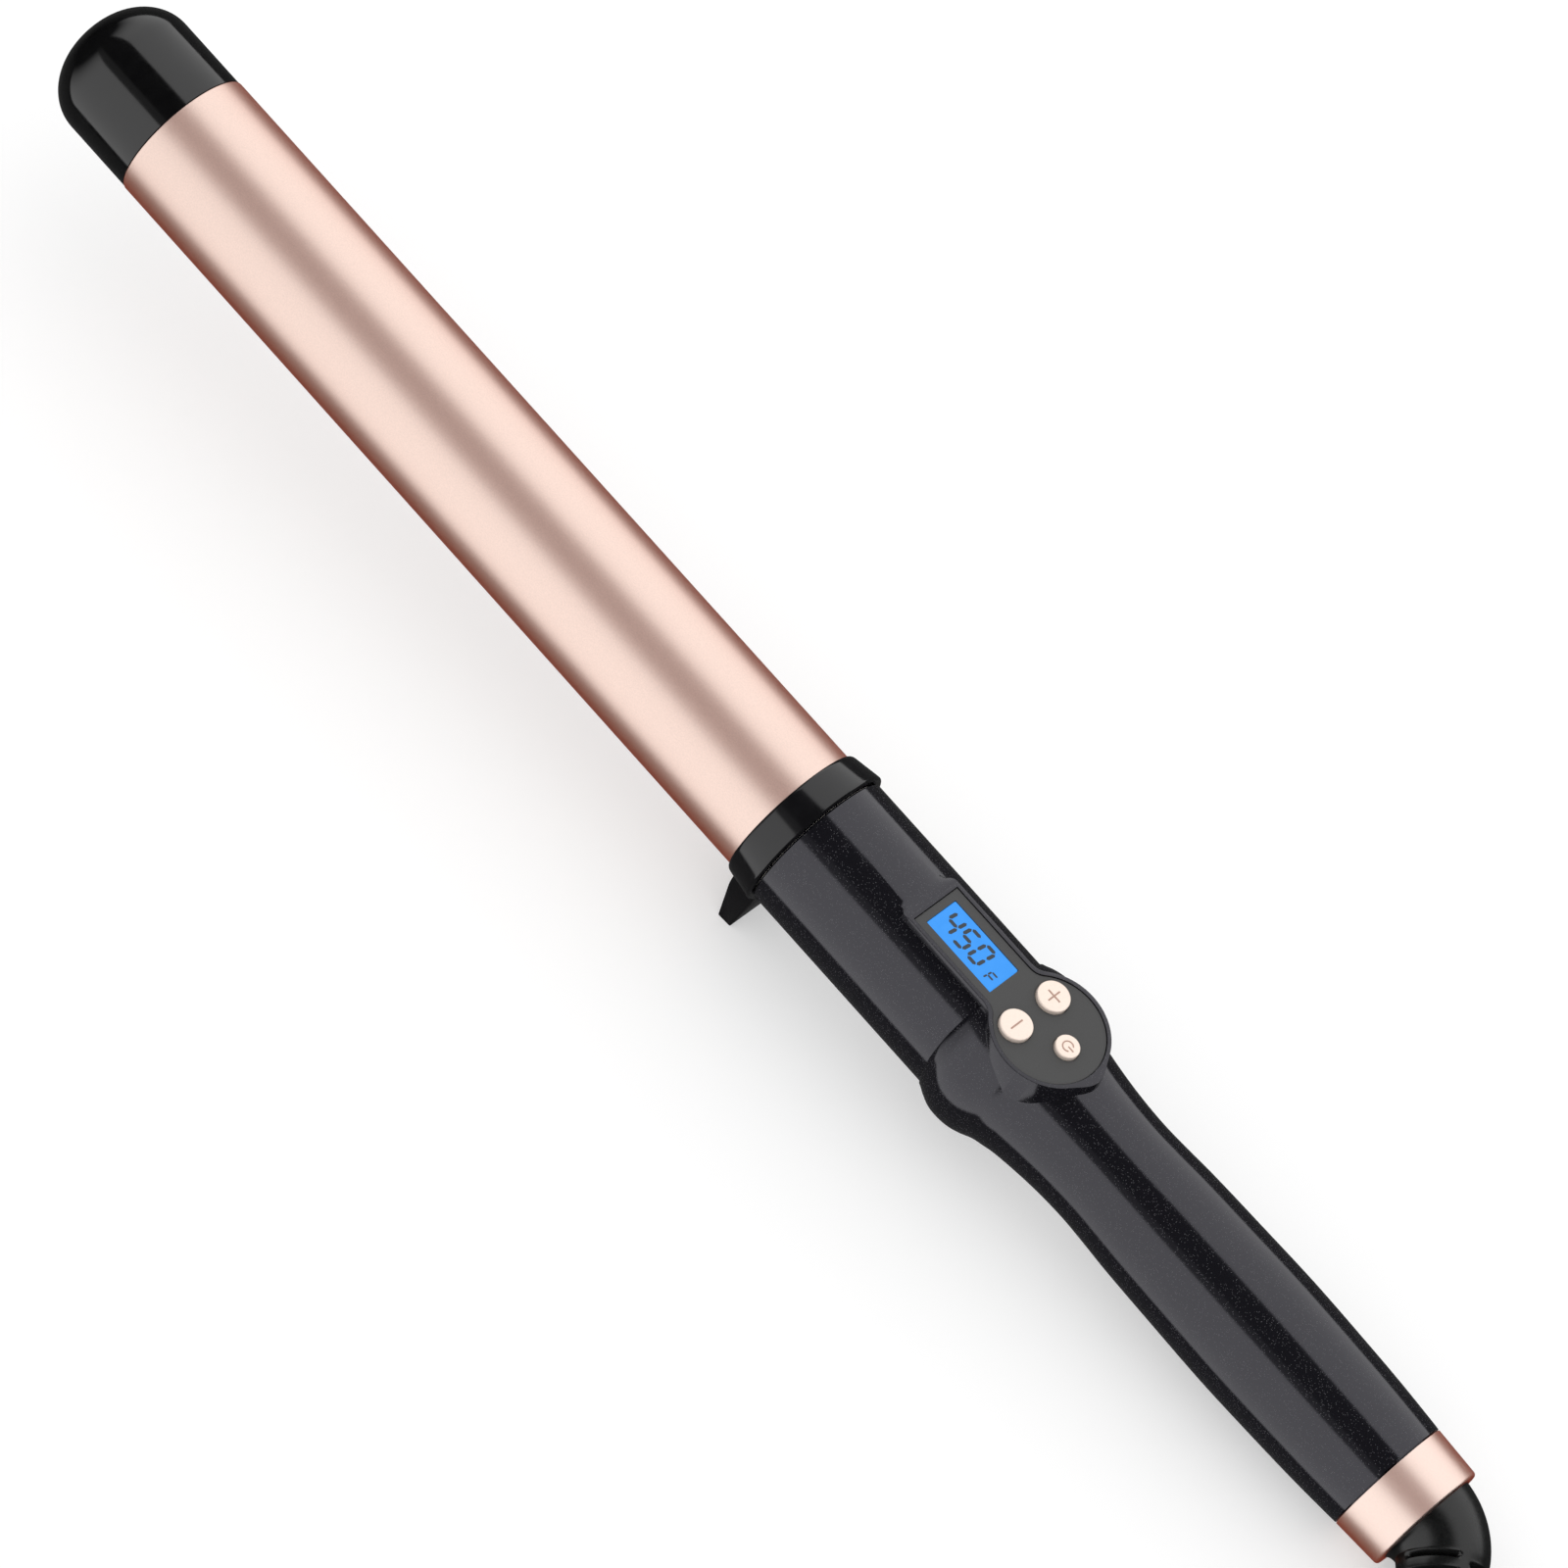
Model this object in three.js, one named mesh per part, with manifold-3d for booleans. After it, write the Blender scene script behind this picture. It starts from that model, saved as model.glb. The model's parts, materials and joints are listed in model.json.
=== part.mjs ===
// A clipless curling iron with a swivel cord, in millimetres, +Z up.
// The iron lies at rest on its foot and its tail ring, cool tip towards -X.
// Inside the iron group, x runs along the barrel's axis from the barrel's seat (0) to the tail,
// z is the side with the controls, and every radius is measured from that axis.
import * as THREE from "three";
import { mergeVertices } from "three/addons/utils/BufferGeometryUtils.js";
import Module from "manifold-3d";

const wasm = await Module();
wasm.setup();

// ---------------------------------------------------------------- driving dimensions
const GAP = 0.3; // left between pieces that touch
const SIDES = 40; // facets around the grip and the barrel
const FINE_SIDES = 24; // facets around small round pieces
const { clamp, degToRad, lerp, smoothstep } = THREE.MathUtils;

const BARREL_R = 16;
const BARREL_WALL = 0.9;
const BARREL_FRONT = -189.2;
const BARREL_REAR = 5;
const TIP_FRONT = -218.5;
const TIP_R = 15.85;
const TIP_DOME = 12; // length of the rounded nose

const COLLAR_FRONT = 0.5;
const COLLAR_REAR = 8.1;
const FOOT_DEPTH = 28; // from the axis to the foot's face
const FOOT_HALF_WIDTH = 11.3;
const FOOT_X = 5.1; // middle of the foot's face

const HANDLE_FRONT = COLLAR_REAR + GAP;
const HANDLE_REAR = 179.5;
const SPLIT_Z = -10; // seam between the handle shell and its bottom cover

const PAD_TOP = 17; // the control boss's flat top
const STRIP_FRONT = 36.2;
const STRIP_HALF_WIDTH = 6.4; // of the overlay
const DISC_X = 70.35;
const DISC_R = 12.1; // of the overlay
const PAD_RIM = 1.1; // rim of the boss around the overlay
const NOSE_X = 85.6; // the boss's rear point
const OVERLAY_TOP = 16.75;
const OVERLAY_THICK = 0.8;
const WINDOW = { x: 47.55, y: -0.25, length: 19, width: 8.7 };
const BUTTON_TOP = 17.75;
const BUTTONS = {
  plus: { x: 65.6, y: 5.6, r: 3.6 },
  minus: { x: 65.6, y: -5.6, r: 3.6 },
  power: { x: 75.3, y: 0, r: 2.7 },
};

const RING_FRONT = 179.8;
const RING_REAR = 191.2;
const RING_R = 13.75;
const RING_REAR_R = 13.3;
const BOOT_BASE_R = 11;
const BOOT_START = 185;
const BOOT_END_R = 4.3;
const BOOT_BEND_R = 11.5;
const BOOT_STRAIGHT = 31; // after the bend
const BOOT_LEAVES = [0.669, -0.735, -0.11]; // direction of the cord's exit, iron axes

const CORD_R = 3;
const CORD_SIDES = 10;

// The tilt that puts both the foot's face and the tail ring's lower edge on the table.
const TILT = Math.atan2(FOOT_DEPTH - RING_REAR_R, RING_REAR - 1 - FOOT_X);
const AXIS_HEIGHT = FOOT_DEPTH * Math.cos(TILT) + FOOT_X * Math.sin(TILT);

// The cord's route on the table after the boot, in the object's frame: chosen by hand.
const LEAD_ROUTE = [
  [233.6, -27.7, 6.7],
  [238, -31.6, 5.8],
  [243.1, -34.6, 4.9],
  [248.6, -36.4, 4.1],
  [254.5, -37, 3.5],
];
// The hank: runs along X with a round fold at each end, and a waist under the tie.
const HANK = {
  x: 340, y: -13, run: 110, foldR: 24, waist: 12, lift: 1.5, height: 19.8,
};
const LEAD_IN = 20; // straight cord beside the hank's near fold
const TIE = { width: 10, thick: 1.2 };
const PLUG = {
  entryX: -10, y: 9, noseLength: 15.7, length: 26, width: 24, height: 13, noseZ: 17.2,
};
const BLADE = { length: 16.5, width: 6.3, thick: 1.5, pitch: 12.7 };

// ---------------------------------------------------------------- materials
const finish = (color, roughness, metalness = 0) =>
  new THREE.MeshStandardMaterial({ color, roughness, metalness });
const roseGold = finish(0xe8c4b4, 0.35, 1);
const satinRose = finish(0xf2d6cb, 0.3, 1);
const glossBlack = finish(0x111112, 0.25);
const sparkleBlack = finish(0x1c1c20, 0.3);
const overlayGrey = finish(0x2c2c2c, 0.55);
const lcdBlue = finish(0x2f86ff, 0.2);
const aluminium = finish(0xb9bcc0, 0.4, 1);
const ceramic = finish(0xe9e4d8, 0.8);
const steel = finish(0xa6a8ab, 0.3, 1);
const copper = finish(0xb87443, 0.35, 1);
const boardGreen = finish(0x1d5a36, 0.6);
const chipBlack = finish(0x151515, 0.5);
const filmYellow = finish(0xc79a2b, 0.5);
const insulatorWhite = finish(0xe6e6e2, 0.6);
const cordBlack = finish(0x101010, 0.6);
const strapBlack = finish(0x1a1a1a, 0.9);
const nickel = finish(0xd4d4d0, 0.25, 1);

// ---------------------------------------------------------------- making solids
function tidied(geometry) {
  const bare = geometry.index ? geometry.toNonIndexed() : geometry;
  bare.deleteAttribute("normal");
  bare.deleteAttribute("uv");
  const merged = mergeVertices(bare, 1e-3);
  const kept = [];
  for (let i = 0; i < merged.index.count; i += 3) {
    const [a, b, c] = [0, 1, 2].map((k) => merged.index.getX(i + k));
    if (a !== b && b !== c && a !== c) kept.push(a, b, c);
  }
  merged.setIndex(kept);
  return merged;
}

// A closed geometry as a manifold solid, turned face out if its profile ran the other way.
function solid(geometry) {
  const g = tidied(geometry);
  const build = (triVerts) =>
    new wasm.Manifold(
      new wasm.Mesh({ numProp: 3, vertProperties: g.attributes.position.array, triVerts }),
    );
  const triangles = new Uint32Array(g.index.array);
  const made = build(triangles);
  return made.volume() < 0 ? build(triangles.reverse()) : made;
}

function geometryOf(manifold) {
  const mesh = manifold.getMesh();
  const geometry = new THREE.BufferGeometry();
  const positions = new Float32Array(mesh.vertProperties);
  geometry.setAttribute("position", new THREE.BufferAttribute(positions, 3));
  geometry.setIndex(new THREE.BufferAttribute(new Uint32Array(mesh.triVerts), 1));
  return geometry;
}

function piece(name, manifold, material) {
  const geometry = geometryOf(manifold).toNonIndexed();
  geometry.computeVertexNormals();
  const mesh = new THREE.Mesh(geometry, material);
  mesh.name = name;
  return mesh;
}

// A closed [x, radius] outline turned about the x axis.
function turned(outline, sides = SIDES) {
  const closed = [...outline, outline[0]].map(([x, r]) => new THREE.Vector2(r, x));
  return solid(new THREE.LatheGeometry(closed, sides).rotateZ(-Math.PI / 2));
}

const ringOf = (x0, x1, inner, outer, sides = FINE_SIDES) =>
  turned([[x0, inner], [x1, inner], [x1, outer], [x0, outer]], sides);
const rod = (x0, x1, r, sides = FINE_SIDES) => turned([[x0, 0], [x1, 0], [x1, r], [x0, r]], sides);

function box(x0, x1, y0, y1, z0, z1) {
  const geometry = new THREE.BoxGeometry(x1 - x0, y1 - y0, z1 - z0);
  return solid(geometry.translate((x0 + x1) / 2, (y0 + y1) / 2, (z0 + z1) / 2));
}

// An upright cylinder.
function post(x, y, z0, z1, r, sides = FINE_SIDES) {
  const geometry = new THREE.CylinderGeometry(r, r, z1 - z0, sides).rotateX(Math.PI / 2);
  return solid(geometry.translate(x, y, (z0 + z1) / 2));
}

// A plan outline in x and y, extruded from z0 to z1.
function slab(shape, z0, z1, curveSegments = 10) {
  const options = { depth: z1 - z0, bevelEnabled: false, curveSegments };
  return solid(new THREE.ExtrudeGeometry(shape, options).translate(0, 0, z0));
}

// A polygon along a curve of many points, the same size all the way.
function tube(points, radius, steps, sides = CORD_SIDES) {
  const section = new THREE.Shape();
  section.absarc(0, 0, radius, 0, 2 * Math.PI, false);
  const extrudePath = new THREE.CatmullRomCurve3(points.map((p) => new THREE.Vector3(...p)));
  const options = { steps, extrudePath, curveSegments: sides };
  return solid(new THREE.ExtrudeGeometry(section, options));
}

// A round tube whose radius changes along its curve.
function taperedTube(curve, radiusAt, steps, sides = FINE_SIDES) {
  const frames = curve.computeFrenetFrames(steps, false);
  const positions = [];
  const index = [];
  for (let i = 0; i <= steps; i++) {
    const centre = curve.getPointAt(i / steps);
    for (let j = 0; j < sides; j++) {
      const angle = (2 * Math.PI * j) / sides;
      const radius = radiusAt(i / steps);
      const out = frames.normals[i].clone().multiplyScalar(Math.cos(angle));
      out.addScaledVector(frames.binormals[i], Math.sin(angle));
      positions.push(...centre.clone().addScaledVector(out, radius).toArray());
      const next = (j + 1) % sides;
      if (i < steps) {
        const [a, b] = [i * sides + j, i * sides + next];
        index.push(a, b, b + sides, a, b + sides, a + sides);
      }
    }
  }
  for (const [ring, station] of [[0, 0], [steps * sides, 1]]) {
    const middle = positions.length / 3;
    positions.push(...curve.getPointAt(station).toArray());
    for (let j = 0; j < sides; j++) {
      const [a, b] = [ring + j, ring + ((j + 1) % sides)];
      index.push(...(station ? [middle, a, b] : [middle, b, a]));
    }
  }
  const geometry = new THREE.BufferGeometry();
  geometry.setAttribute("position", new THREE.Float32BufferAttribute(positions, 3));
  geometry.setIndex(index);
  return solid(geometry);
}

// ---------------------------------------------------------------- barrel and its heater
function barrelTube() {
  return ringOf(BARREL_FRONT, BARREL_REAR, BARREL_R - BARREL_WALL, BARREL_R, SIDES);
}

function coolTip() {
  const rear = BARREL_FRONT - GAP;
  const spigotR = BARREL_R - BARREL_WALL - GAP;
  const domeCentre = TIP_FRONT + TIP_DOME;
  const domeSteps = 7;
  const wall = 2;
  const dome = [...Array(domeSteps + 1).keys()].map((i) => {
    const angle = (i / domeSteps) * (Math.PI / 2);
    return [domeCentre - TIP_DOME * Math.cos(angle), TIP_R * Math.sin(angle)];
  });
  const inside = [
    [rear + 8, spigotR],
    [rear + 8, spigotR - wall],
    [domeCentre, spigotR - wall],
    [TIP_FRONT + wall + 3, 8],
    [TIP_FRONT + wall, 0],
  ];
  return turned([...dome, [rear, TIP_R], [rear, spigotR], ...inside]);
}

// The bush that holds the hot barrel away from the handle; the leads pass through its bore.
function barrelSeat() {
  const inBarrel = BARREL_R - BARREL_WALL - GAP;
  return turned([
    [-8, 8], [18, 8], [18, 12.8], [COLLAR_REAR, 12.8], [COLLAR_REAR, 15.9],
    [BARREL_REAR + GAP, 15.9], [BARREL_REAR + GAP, inBarrel], [-8, inBarrel],
  ]);
}

// The flared collar over the barrel's rear end, with the rest foot moulded below it.
function barrelCollar() {
  const bore = BARREL_R + GAP;
  const flare = turned([
    [COLLAR_FRONT, bore], [COLLAR_REAR, bore], [COLLAR_REAR, 17.7], [COLLAR_REAR - 0.3, 18.1],
    [COLLAR_REAR - 0.9, 18.1], [COLLAR_FRONT + 0.4, 16.9], [COLLAR_FRONT, 16.7],
  ]);
  const side = new THREE.Shape();
  const faceRise = 1.7 * Math.tan(TILT);
  side.moveTo(FOOT_X - 1.7, -FOOT_DEPTH - faceRise);
  side.lineTo(FOOT_X + 1.7, -FOOT_DEPTH + faceRise);
  side.lineTo(COLLAR_REAR - 0.2, -17);
  side.lineTo(COLLAR_REAR - 0.2, -8);
  side.lineTo(1.4, -8);
  side.lineTo(1.4, -17);
  const options = { depth: 2 * FOOT_HALF_WIDTH, bevelEnabled: false };
  const web = new THREE.ExtrudeGeometry(side, options)
    .rotateX(Math.PI / 2)
    .translate(0, FOOT_HALF_WIDTH, 0);
  const clearance = rod(-5, COLLAR_REAR + 5, bore, SIDES);
  return flare.add(solid(web).subtract(clearance));
}

// Half-round aluminium extrusions that carry the heaters' warmth to the barrel.
function heatSpreader(upper) {
  const r = BARREL_R - BARREL_WALL - GAP;
  const flat = 1.6;
  const start = Math.asin(flat / r);
  const half = new THREE.Shape();
  half.absarc(0, 0, r, start, Math.PI - start, false);
  half.lineTo(-5, flat);
  half.lineTo(-5, flat + 5);
  half.lineTo(5, flat + 5);
  half.lineTo(5, flat);
  const options = { depth: 160, bevelEnabled: false, curveSegments: 16 };
  const geometry = new THREE.ExtrudeGeometry(half, options)
    .rotateX(Math.PI / 2)
    .rotateZ(Math.PI / 2)
    .translate(-175, 0, 0);
  if (!upper) geometry.rotateX(Math.PI);
  return solid(geometry);
}

const ptcHeater = (x0) => box(x0, x0 + 60, -11, 11, -1.3, 1.3);

// A shallow bowed leaf that presses the spreader halves against the barrel.
function spreaderSpring() {
  const leaf = new THREE.Shape();
  leaf.moveTo(-102, -1.2);
  leaf.lineTo(-96, 0.7);
  leaf.lineTo(-88, 0.7);
  leaf.lineTo(-82, -1.2);
  leaf.lineTo(-82, -0.8);
  leaf.lineTo(-87.8, 1.2);
  leaf.lineTo(-96.2, 1.2);
  leaf.lineTo(-102, -0.8);
  const options = { depth: 12, bevelEnabled: false };
  return solid(new THREE.ExtrudeGeometry(leaf, options).rotateX(Math.PI / 2).translate(0, 6, 0));
}

const thermalFuse = () => ringOf(-13, -2, 0.5, 2, 12).translate(0, 3.8, 4);
const ntcSensor = () => rod(-13, -9, 1.3, 12).translate(0, -3.8, 4);

// A lead from the heaters' rear end to the front of the power board.
function heaterLead(side) {
  const y = side * 3;
  return tube(
    [[-14.4, y, 0], [0, y, 0.5], [30, y, 0.3], [60, y, 0], [85, y, -1], [95.6, y, -2.2]],
    1.1, 10, 8,
  );
}

// ---------------------------------------------------------------- handle
// The grip's outline: straight, then the finger guard, neck, belly and tail.
const GRIP_FRONT_R = 16.8;
const GRIP = [
  [HANDLE_FRONT, GRIP_FRONT_R], [57.6, GRIP_FRONT_R], [58, 17.2], [59.9, 18.1],
  [62.2, 18.8], [64.7, 19.05], [67.2, 19.05], [69.5, 18.65], [71.9, 17.8],
  [74.3, 16.65], [76.7, 16.05], [79.1, 15.45], [83.5, 14.8], [88.6, 14.25],
  [93.5, 13.95], [99, 13.8], [105, 14.05], [112, 14.45], [126, 14.75],
  [142, 15], [158.7, 14.7], [168, 14.4], [177.3, 13.9], [HANDLE_REAR, RING_R],
];
// The guard stands out all round but for the top, which the control boss covers.
const GUARD = { front: 57.6, rear: 83.5, neckR: 14.8 };
const GUARD_STARTS = degToRad(14); // angles from the top
const GUARD_FULL = degToRad(30);
const SPIGOT = { rear: 184, r: 11.6, bore: 9.6 };

function upperRadius(x) {
  return lerp(GRIP_FRONT_R, GUARD.neckR, smoothstep(x, GUARD.front, GUARD.rear));
}

// The grip as one solid, with its surface moved in by an inset.
function gripSolid(inset = 0) {
  const outline = [[HANDLE_FRONT, 0], ...GRIP.map(([x, r]) => [x, r - inset]), [HANDLE_REAR, 0]];
  const points = outline.map(([x, r]) => new THREE.Vector2(r, x));
  const geometry = new THREE.LatheGeometry(points, SIDES).rotateZ(-Math.PI / 2);
  const place = geometry.attributes.position;
  for (let i = 0; i < place.count; i++) {
    const [x, y, z] = [place.getX(i), place.getY(i), place.getZ(i)];
    const lower = Math.hypot(y, z);
    const upper = upperRadius(x) - inset;
    if (x < GUARD.front || x > GUARD.rear || lower < upper) continue;
    const share = smoothstep(Math.abs(Math.atan2(y, z)), GUARD_STARTS, GUARD_FULL);
    const scale = lerp(upper, lower, share) / lower;
    place.setXYZ(i, x, y * scale, z * scale);
  }
  return solid(geometry);
}

// The hollow inside the grip.
const HOLLOW = [
  [112, 12.4], [99, 11.8], [83.5, 12.9], [74.3, 13.4], [66, 14.4], [58, 14.6], [HANDLE_FRONT - 1, 14.8],
];

function gripBlank() {
  const { rear, r, bore } = SPIGOT;
  const spigot = rod(HANDLE_REAR - 1, rear, r, SIDES);
  const tail = [[rear + 1, 0], [rear + 1, bore], [HANDLE_REAR - 3, bore], [HANDLE_REAR - 6, 11.7]];
  const cavity = turned([...tail, ...HOLLOW, [HANDLE_FRONT - 1, 0]]);
  return gripSolid().add(spigot).subtract(cavity);
}

// The keyhole outline of the control boss, grown or shrunk from the overlay's own edge.
function keyhole(grow, pointed = false) {
  const strip = STRIP_HALF_WIDTH + grow;
  const r = DISC_R + grow;
  const join = Math.asin(strip / r);
  const outline = new THREE.Shape();
  outline.moveTo(STRIP_FRONT - grow, -strip);
  outline.lineTo(DISC_X - r * Math.cos(join), -strip);
  if (pointed) {
    const touch = Math.acos(r / (NOSE_X - DISC_X));
    outline.absarc(DISC_X, 0, r, Math.PI + join, 2 * Math.PI - touch, false);
    outline.lineTo(NOSE_X, 0);
    outline.absarc(DISC_X, 0, r, touch, Math.PI - join, false);
  } else {
    outline.absarc(DISC_X, 0, r, Math.PI + join, 3 * Math.PI - join, false);
  }
  outline.lineTo(STRIP_FRONT - grow, strip);
  return outline;
}

// The wedge that ramps up from the round grip to the boss's flat top.
function bossRamp() {
  const half = STRIP_HALF_WIDTH + PAD_RIM;
  const side = new THREE.Shape();
  side.moveTo(STRIP_FRONT - PAD_RIM - 3.5, 14);
  side.lineTo(STRIP_FRONT - PAD_RIM + 0.2, 14);
  side.lineTo(STRIP_FRONT - PAD_RIM + 0.2, PAD_TOP);
  side.lineTo(STRIP_FRONT - PAD_RIM - 3.5, 15.2);
  const options = { depth: 2 * half, bevelEnabled: false };
  return solid(
    new THREE.ExtrudeGeometry(side, options).rotateX(Math.PI / 2).translate(0, half, 0),
  );
}

const SCREWS = { front: 24, middle: 66, rear: 142 };
const SCREW = {
  postR: 3.2, holeR: 1.5, shankR: 1.15, headR: 2.5, headHeight: 1.8, pitR: 2.9, pitDepth: 3.2, tip: -5,
};
const SCREW_SIDES = 12;

function handleShell() {
  const boss = slab(keyhole(PAD_RIM, true), 7, PAD_TOP).add(bossRamp());
  const hollow = slab(keyhole(-0.6), 4, PAD_TOP + 1);
  const sky = slab(keyhole(PAD_RIM, true), PAD_TOP, PAD_TOP + 6);
  const recess = slab(keyhole(GAP), OVERLAY_TOP - OVERLAY_THICK - 0.1, PAD_TOP + 1);
  const cavity = turned([[112, 0], ...HOLLOW, [HANDLE_FRONT - 1, 0]]);
  let shell = gripBlank().add(boss.subtract(cavity));
  for (const cut of [hollow, recess, sky]) shell = shell.subtract(cut);
  for (const x of Object.values(SCREWS)) {
    const socket = post(x, 0, SPLIT_Z + GAP, SCREW.tip + 1.5, SCREW.postR, SCREW_SIDES);
    const rib = box(x - 0.8, x + 0.8, -20, 20, SPLIT_Z + GAP, -6).intersect(gripSolid(1));
    const bore = post(x, 0, SPLIT_Z - 1, SCREW.tip + 0.5, SCREW.holeR, SCREW_SIDES);
    shell = shell.add(socket).add(rib).subtract(bore);
  }
  return shell.subtract(box(-50, 250, -40, 40, -40, SPLIT_Z + GAP / 2));
}

function handleBottomCover() {
  let cover = gripBlank();
  for (const x of Object.values(SCREWS)) {
    const column = post(x, 0, -20, SPLIT_Z, SCREW.postR + 0.8, SCREW_SIDES).intersect(gripSolid(1));
    const bore = post(x, 0, -25, SPLIT_Z + 1, SCREW.holeR, SCREW_SIDES);
    const pit = post(x, 0, -25, screwSeat(x), SCREW.pitR, 16);
    cover = cover.add(column).subtract(bore).subtract(pit);
  }
  return cover.subtract(box(-50, 250, -40, 40, SPLIT_Z - GAP / 2, 40));
}

const gripRadiusAt = (x) => {
  const after = GRIP.findIndex(([px]) => px >= x);
  const [[x0, r0], [x1, r1]] = [GRIP[after - 1], GRIP[after]];
  return r0 + ((r1 - r0) * (x - x0)) / (x1 - x0);
};
const screwSeat = (x) => SCREW.pitDepth - gripRadiusAt(x);

function coverScrew(x) {
  const top = screwSeat(x) - GAP;
  const low = top - SCREW.headHeight;
  const head = post(x, 0, low, top, SCREW.headR, 16);
  const slot = box(x - 0.3, x + 0.3, -2, 2, low - 1, low + 0.3);
  const cross = box(x - 2, x + 2, -0.3, 0.3, low - 1, low + 0.3);
  const shank = post(x, 0, top - 0.1, SCREW.tip, SCREW.shankR, SCREW_SIDES);
  return head.add(shank).subtract(slot).subtract(cross);
}

// ---------------------------------------------------------------- controls
function windowBox(inset, z0, z1) {
  const { x, y, length, width } = WINDOW;
  const [l, w] = [length / 2 - inset, width / 2 - inset];
  return box(x - l, x + l, y - w, y + w, z0, z1);
}

function controlOverlay() {
  const bottom = OVERLAY_TOP - OVERLAY_THICK;
  let sheet = slab(keyhole(0), bottom, OVERLAY_TOP, 12);
  sheet = sheet.subtract(windowBox(0, bottom - 1, OVERLAY_TOP + 1));
  for (const b of Object.values(BUTTONS)) {
    sheet = sheet.subtract(post(b.x, b.y, bottom - 1, OVERLAY_TOP + 1, b.r + 0.15));
  }
  return sheet;
}

const lcdWindow = () => windowBox(0.15, OVERLAY_TOP - OVERLAY_THICK, OVERLAY_TOP - 0.1);

const lcdModule = () => box(37.6, 58.6, -5.4, 5.4, 12.9, OVERLAY_TOP - OVERLAY_THICK - GAP);

function button({ x, y, r }) {
  const flange = post(x, y, 14.95, OVERLAY_TOP - OVERLAY_THICK - GAP, r + 0.45);
  const cap = post(x, y, 15.2, BUTTON_TOP, r);
  const stem = post(x, y, 14.5, 15.1, 1.2, 12);
  return flange.add(cap).add(stem);
}

function tactileSwitch({ x, y }) {
  const base = box(x - 2.2, x + 2.2, y - 2.2, y + 2.2, 12.75, 13.6);
  return base.add(post(x, y, 13.5, 14, 1.2, 12));
}

function controlBoard() {
  const plan = new THREE.Shape();
  plan.moveTo(36.8, -7);
  plan.lineTo(72, -7);
  plan.lineTo(74, -5);
  plan.lineTo(79.3, -5);
  plan.lineTo(79.3, 5);
  plan.lineTo(74, 5);
  plan.lineTo(72, 7);
  plan.lineTo(36.8, 7);
  return slab(plan, 11, 12.5);
}

const microcontroller = () => box(44, 54, -4, 4, 9.2, 11 - GAP);

const POWER_BOARD = { front: 96, rear: 150, halfWidth: 9.5, top: -1.5, thick: 1.5 };
const POWER_PARTS_TOP = 8;
function powerBoard() {
  const { front, rear, halfWidth, top, thick } = POWER_BOARD;
  return box(front, rear, -halfWidth, halfWidth, top - thick, top);
}
const onPowerBoard = (x0, x1, halfWidth) =>
  box(x0, x1, -halfWidth, halfWidth, POWER_BOARD.top + GAP, POWER_PARTS_TOP);
const triac = () => onPowerBoard(110, 114.5, 5);
const filmCapacitor = () => onPowerBoard(122, 140, 4.5);
const mainsLead = (side) =>
  tube([[150.4, side * 6, -2], [156, side * 7.6, -1.2], [162.9, side * 8, 0]], 0.9, 6, 8);

// ---------------------------------------------------------------- tail and swivel
function tailRing() {
  return turned([
    [RING_FRONT, 11.9], [RING_REAR - 1.5, 11.9], [RING_REAR - 1.5, 11.3], [RING_REAR, 11.3],
    [RING_REAR, RING_REAR_R - 0.6], [RING_REAR - 0.3, RING_REAR_R - 0.15],
    [RING_REAR - 0.9, RING_REAR_R], [RING_FRONT, RING_R],
  ]);
}

function swivelRetainer() {
  return turned([[163.3, 5], [165, 5], [165, 7.9], [184, 7.9], [184, 9.3], [163.3, 9.3]], 32);
}

const BRUSHES = { live: { x: 168.5, side: 1 }, neutral: { x: 175.5, side: -1 } };
function brush({ x, side }) {
  const [near, far] = [6.2, 7.5];
  return box(x - 1.2, x + 1.2, -1.2, 1.2, side > 0 ? near : -far, side > 0 ? far : -near);
}

const slipRing = ({ x }) => ringOf(x - 1.6, x + 1.6, 4.9, 5.9);

// The turning half of the swivel: a flange behind the retainer's collar and a hollow shaft.
function swivelHub() {
  return turned([
    [160, 2], [184.7, 2], [184.7, 4.6], [163, 4.6], [163, 6.2], [160, 6.2],
  ], FINE_SIDES);
}

// The boot's centre line: straight out of the tail ring, round a bend, then straight.
function bootCurve() {
  const leaves = new THREE.Vector3(...BOOT_LEAVES).normalize();
  const along = new THREE.Vector3(1, 0, 0);
  const aside = leaves.clone().addScaledVector(along, -leaves.x).normalize();
  const bend = Math.acos(leaves.x);
  const at = (angle) =>
    new THREE.Vector3(RING_REAR, 0, 0)
      .addScaledVector(along, BOOT_BEND_R * Math.sin(angle))
      .addScaledVector(aside, BOOT_BEND_R * (1 - Math.cos(angle)));
  const points = [BOOT_START, 187, 189, RING_REAR].map((x) => new THREE.Vector3(x, 0, 0));
  for (const share of [0.25, 0.5, 0.75, 1]) points.push(at(bend * share));
  for (const share of [0.33, 0.67, 1]) {
    points.push(at(bend).addScaledVector(leaves, BOOT_STRAIGHT * share));
  }
  return new THREE.CatmullRomCurve3(points);
}

function cordBoot() {
  const curve = bootCurve();
  const length = curve.getLength();
  const seated = (RING_REAR - BOOT_START) / length;
  const taper = (t) => {
    const share = clamp((t - seated) / (1 - seated), 0, 1);
    return lerp(BOOT_BASE_R, BOOT_END_R, share);
  };
  return taperedTube(curve, taper, 26, FINE_SIDES);
}

// ---------------------------------------------------------------- cord on the table
function cordLead(exit, direction) {
  const start = exit.clone().addScaledVector(direction, GAP);
  const end = [HANK.x - HANK.run / 2 - LEAD_IN - GAP, HANK.y - HANK.foldR, CORD_R + 0.2];
  return tube([start.toArray(), ...LEAD_ROUTE, end], CORD_R, 14);
}

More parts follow.
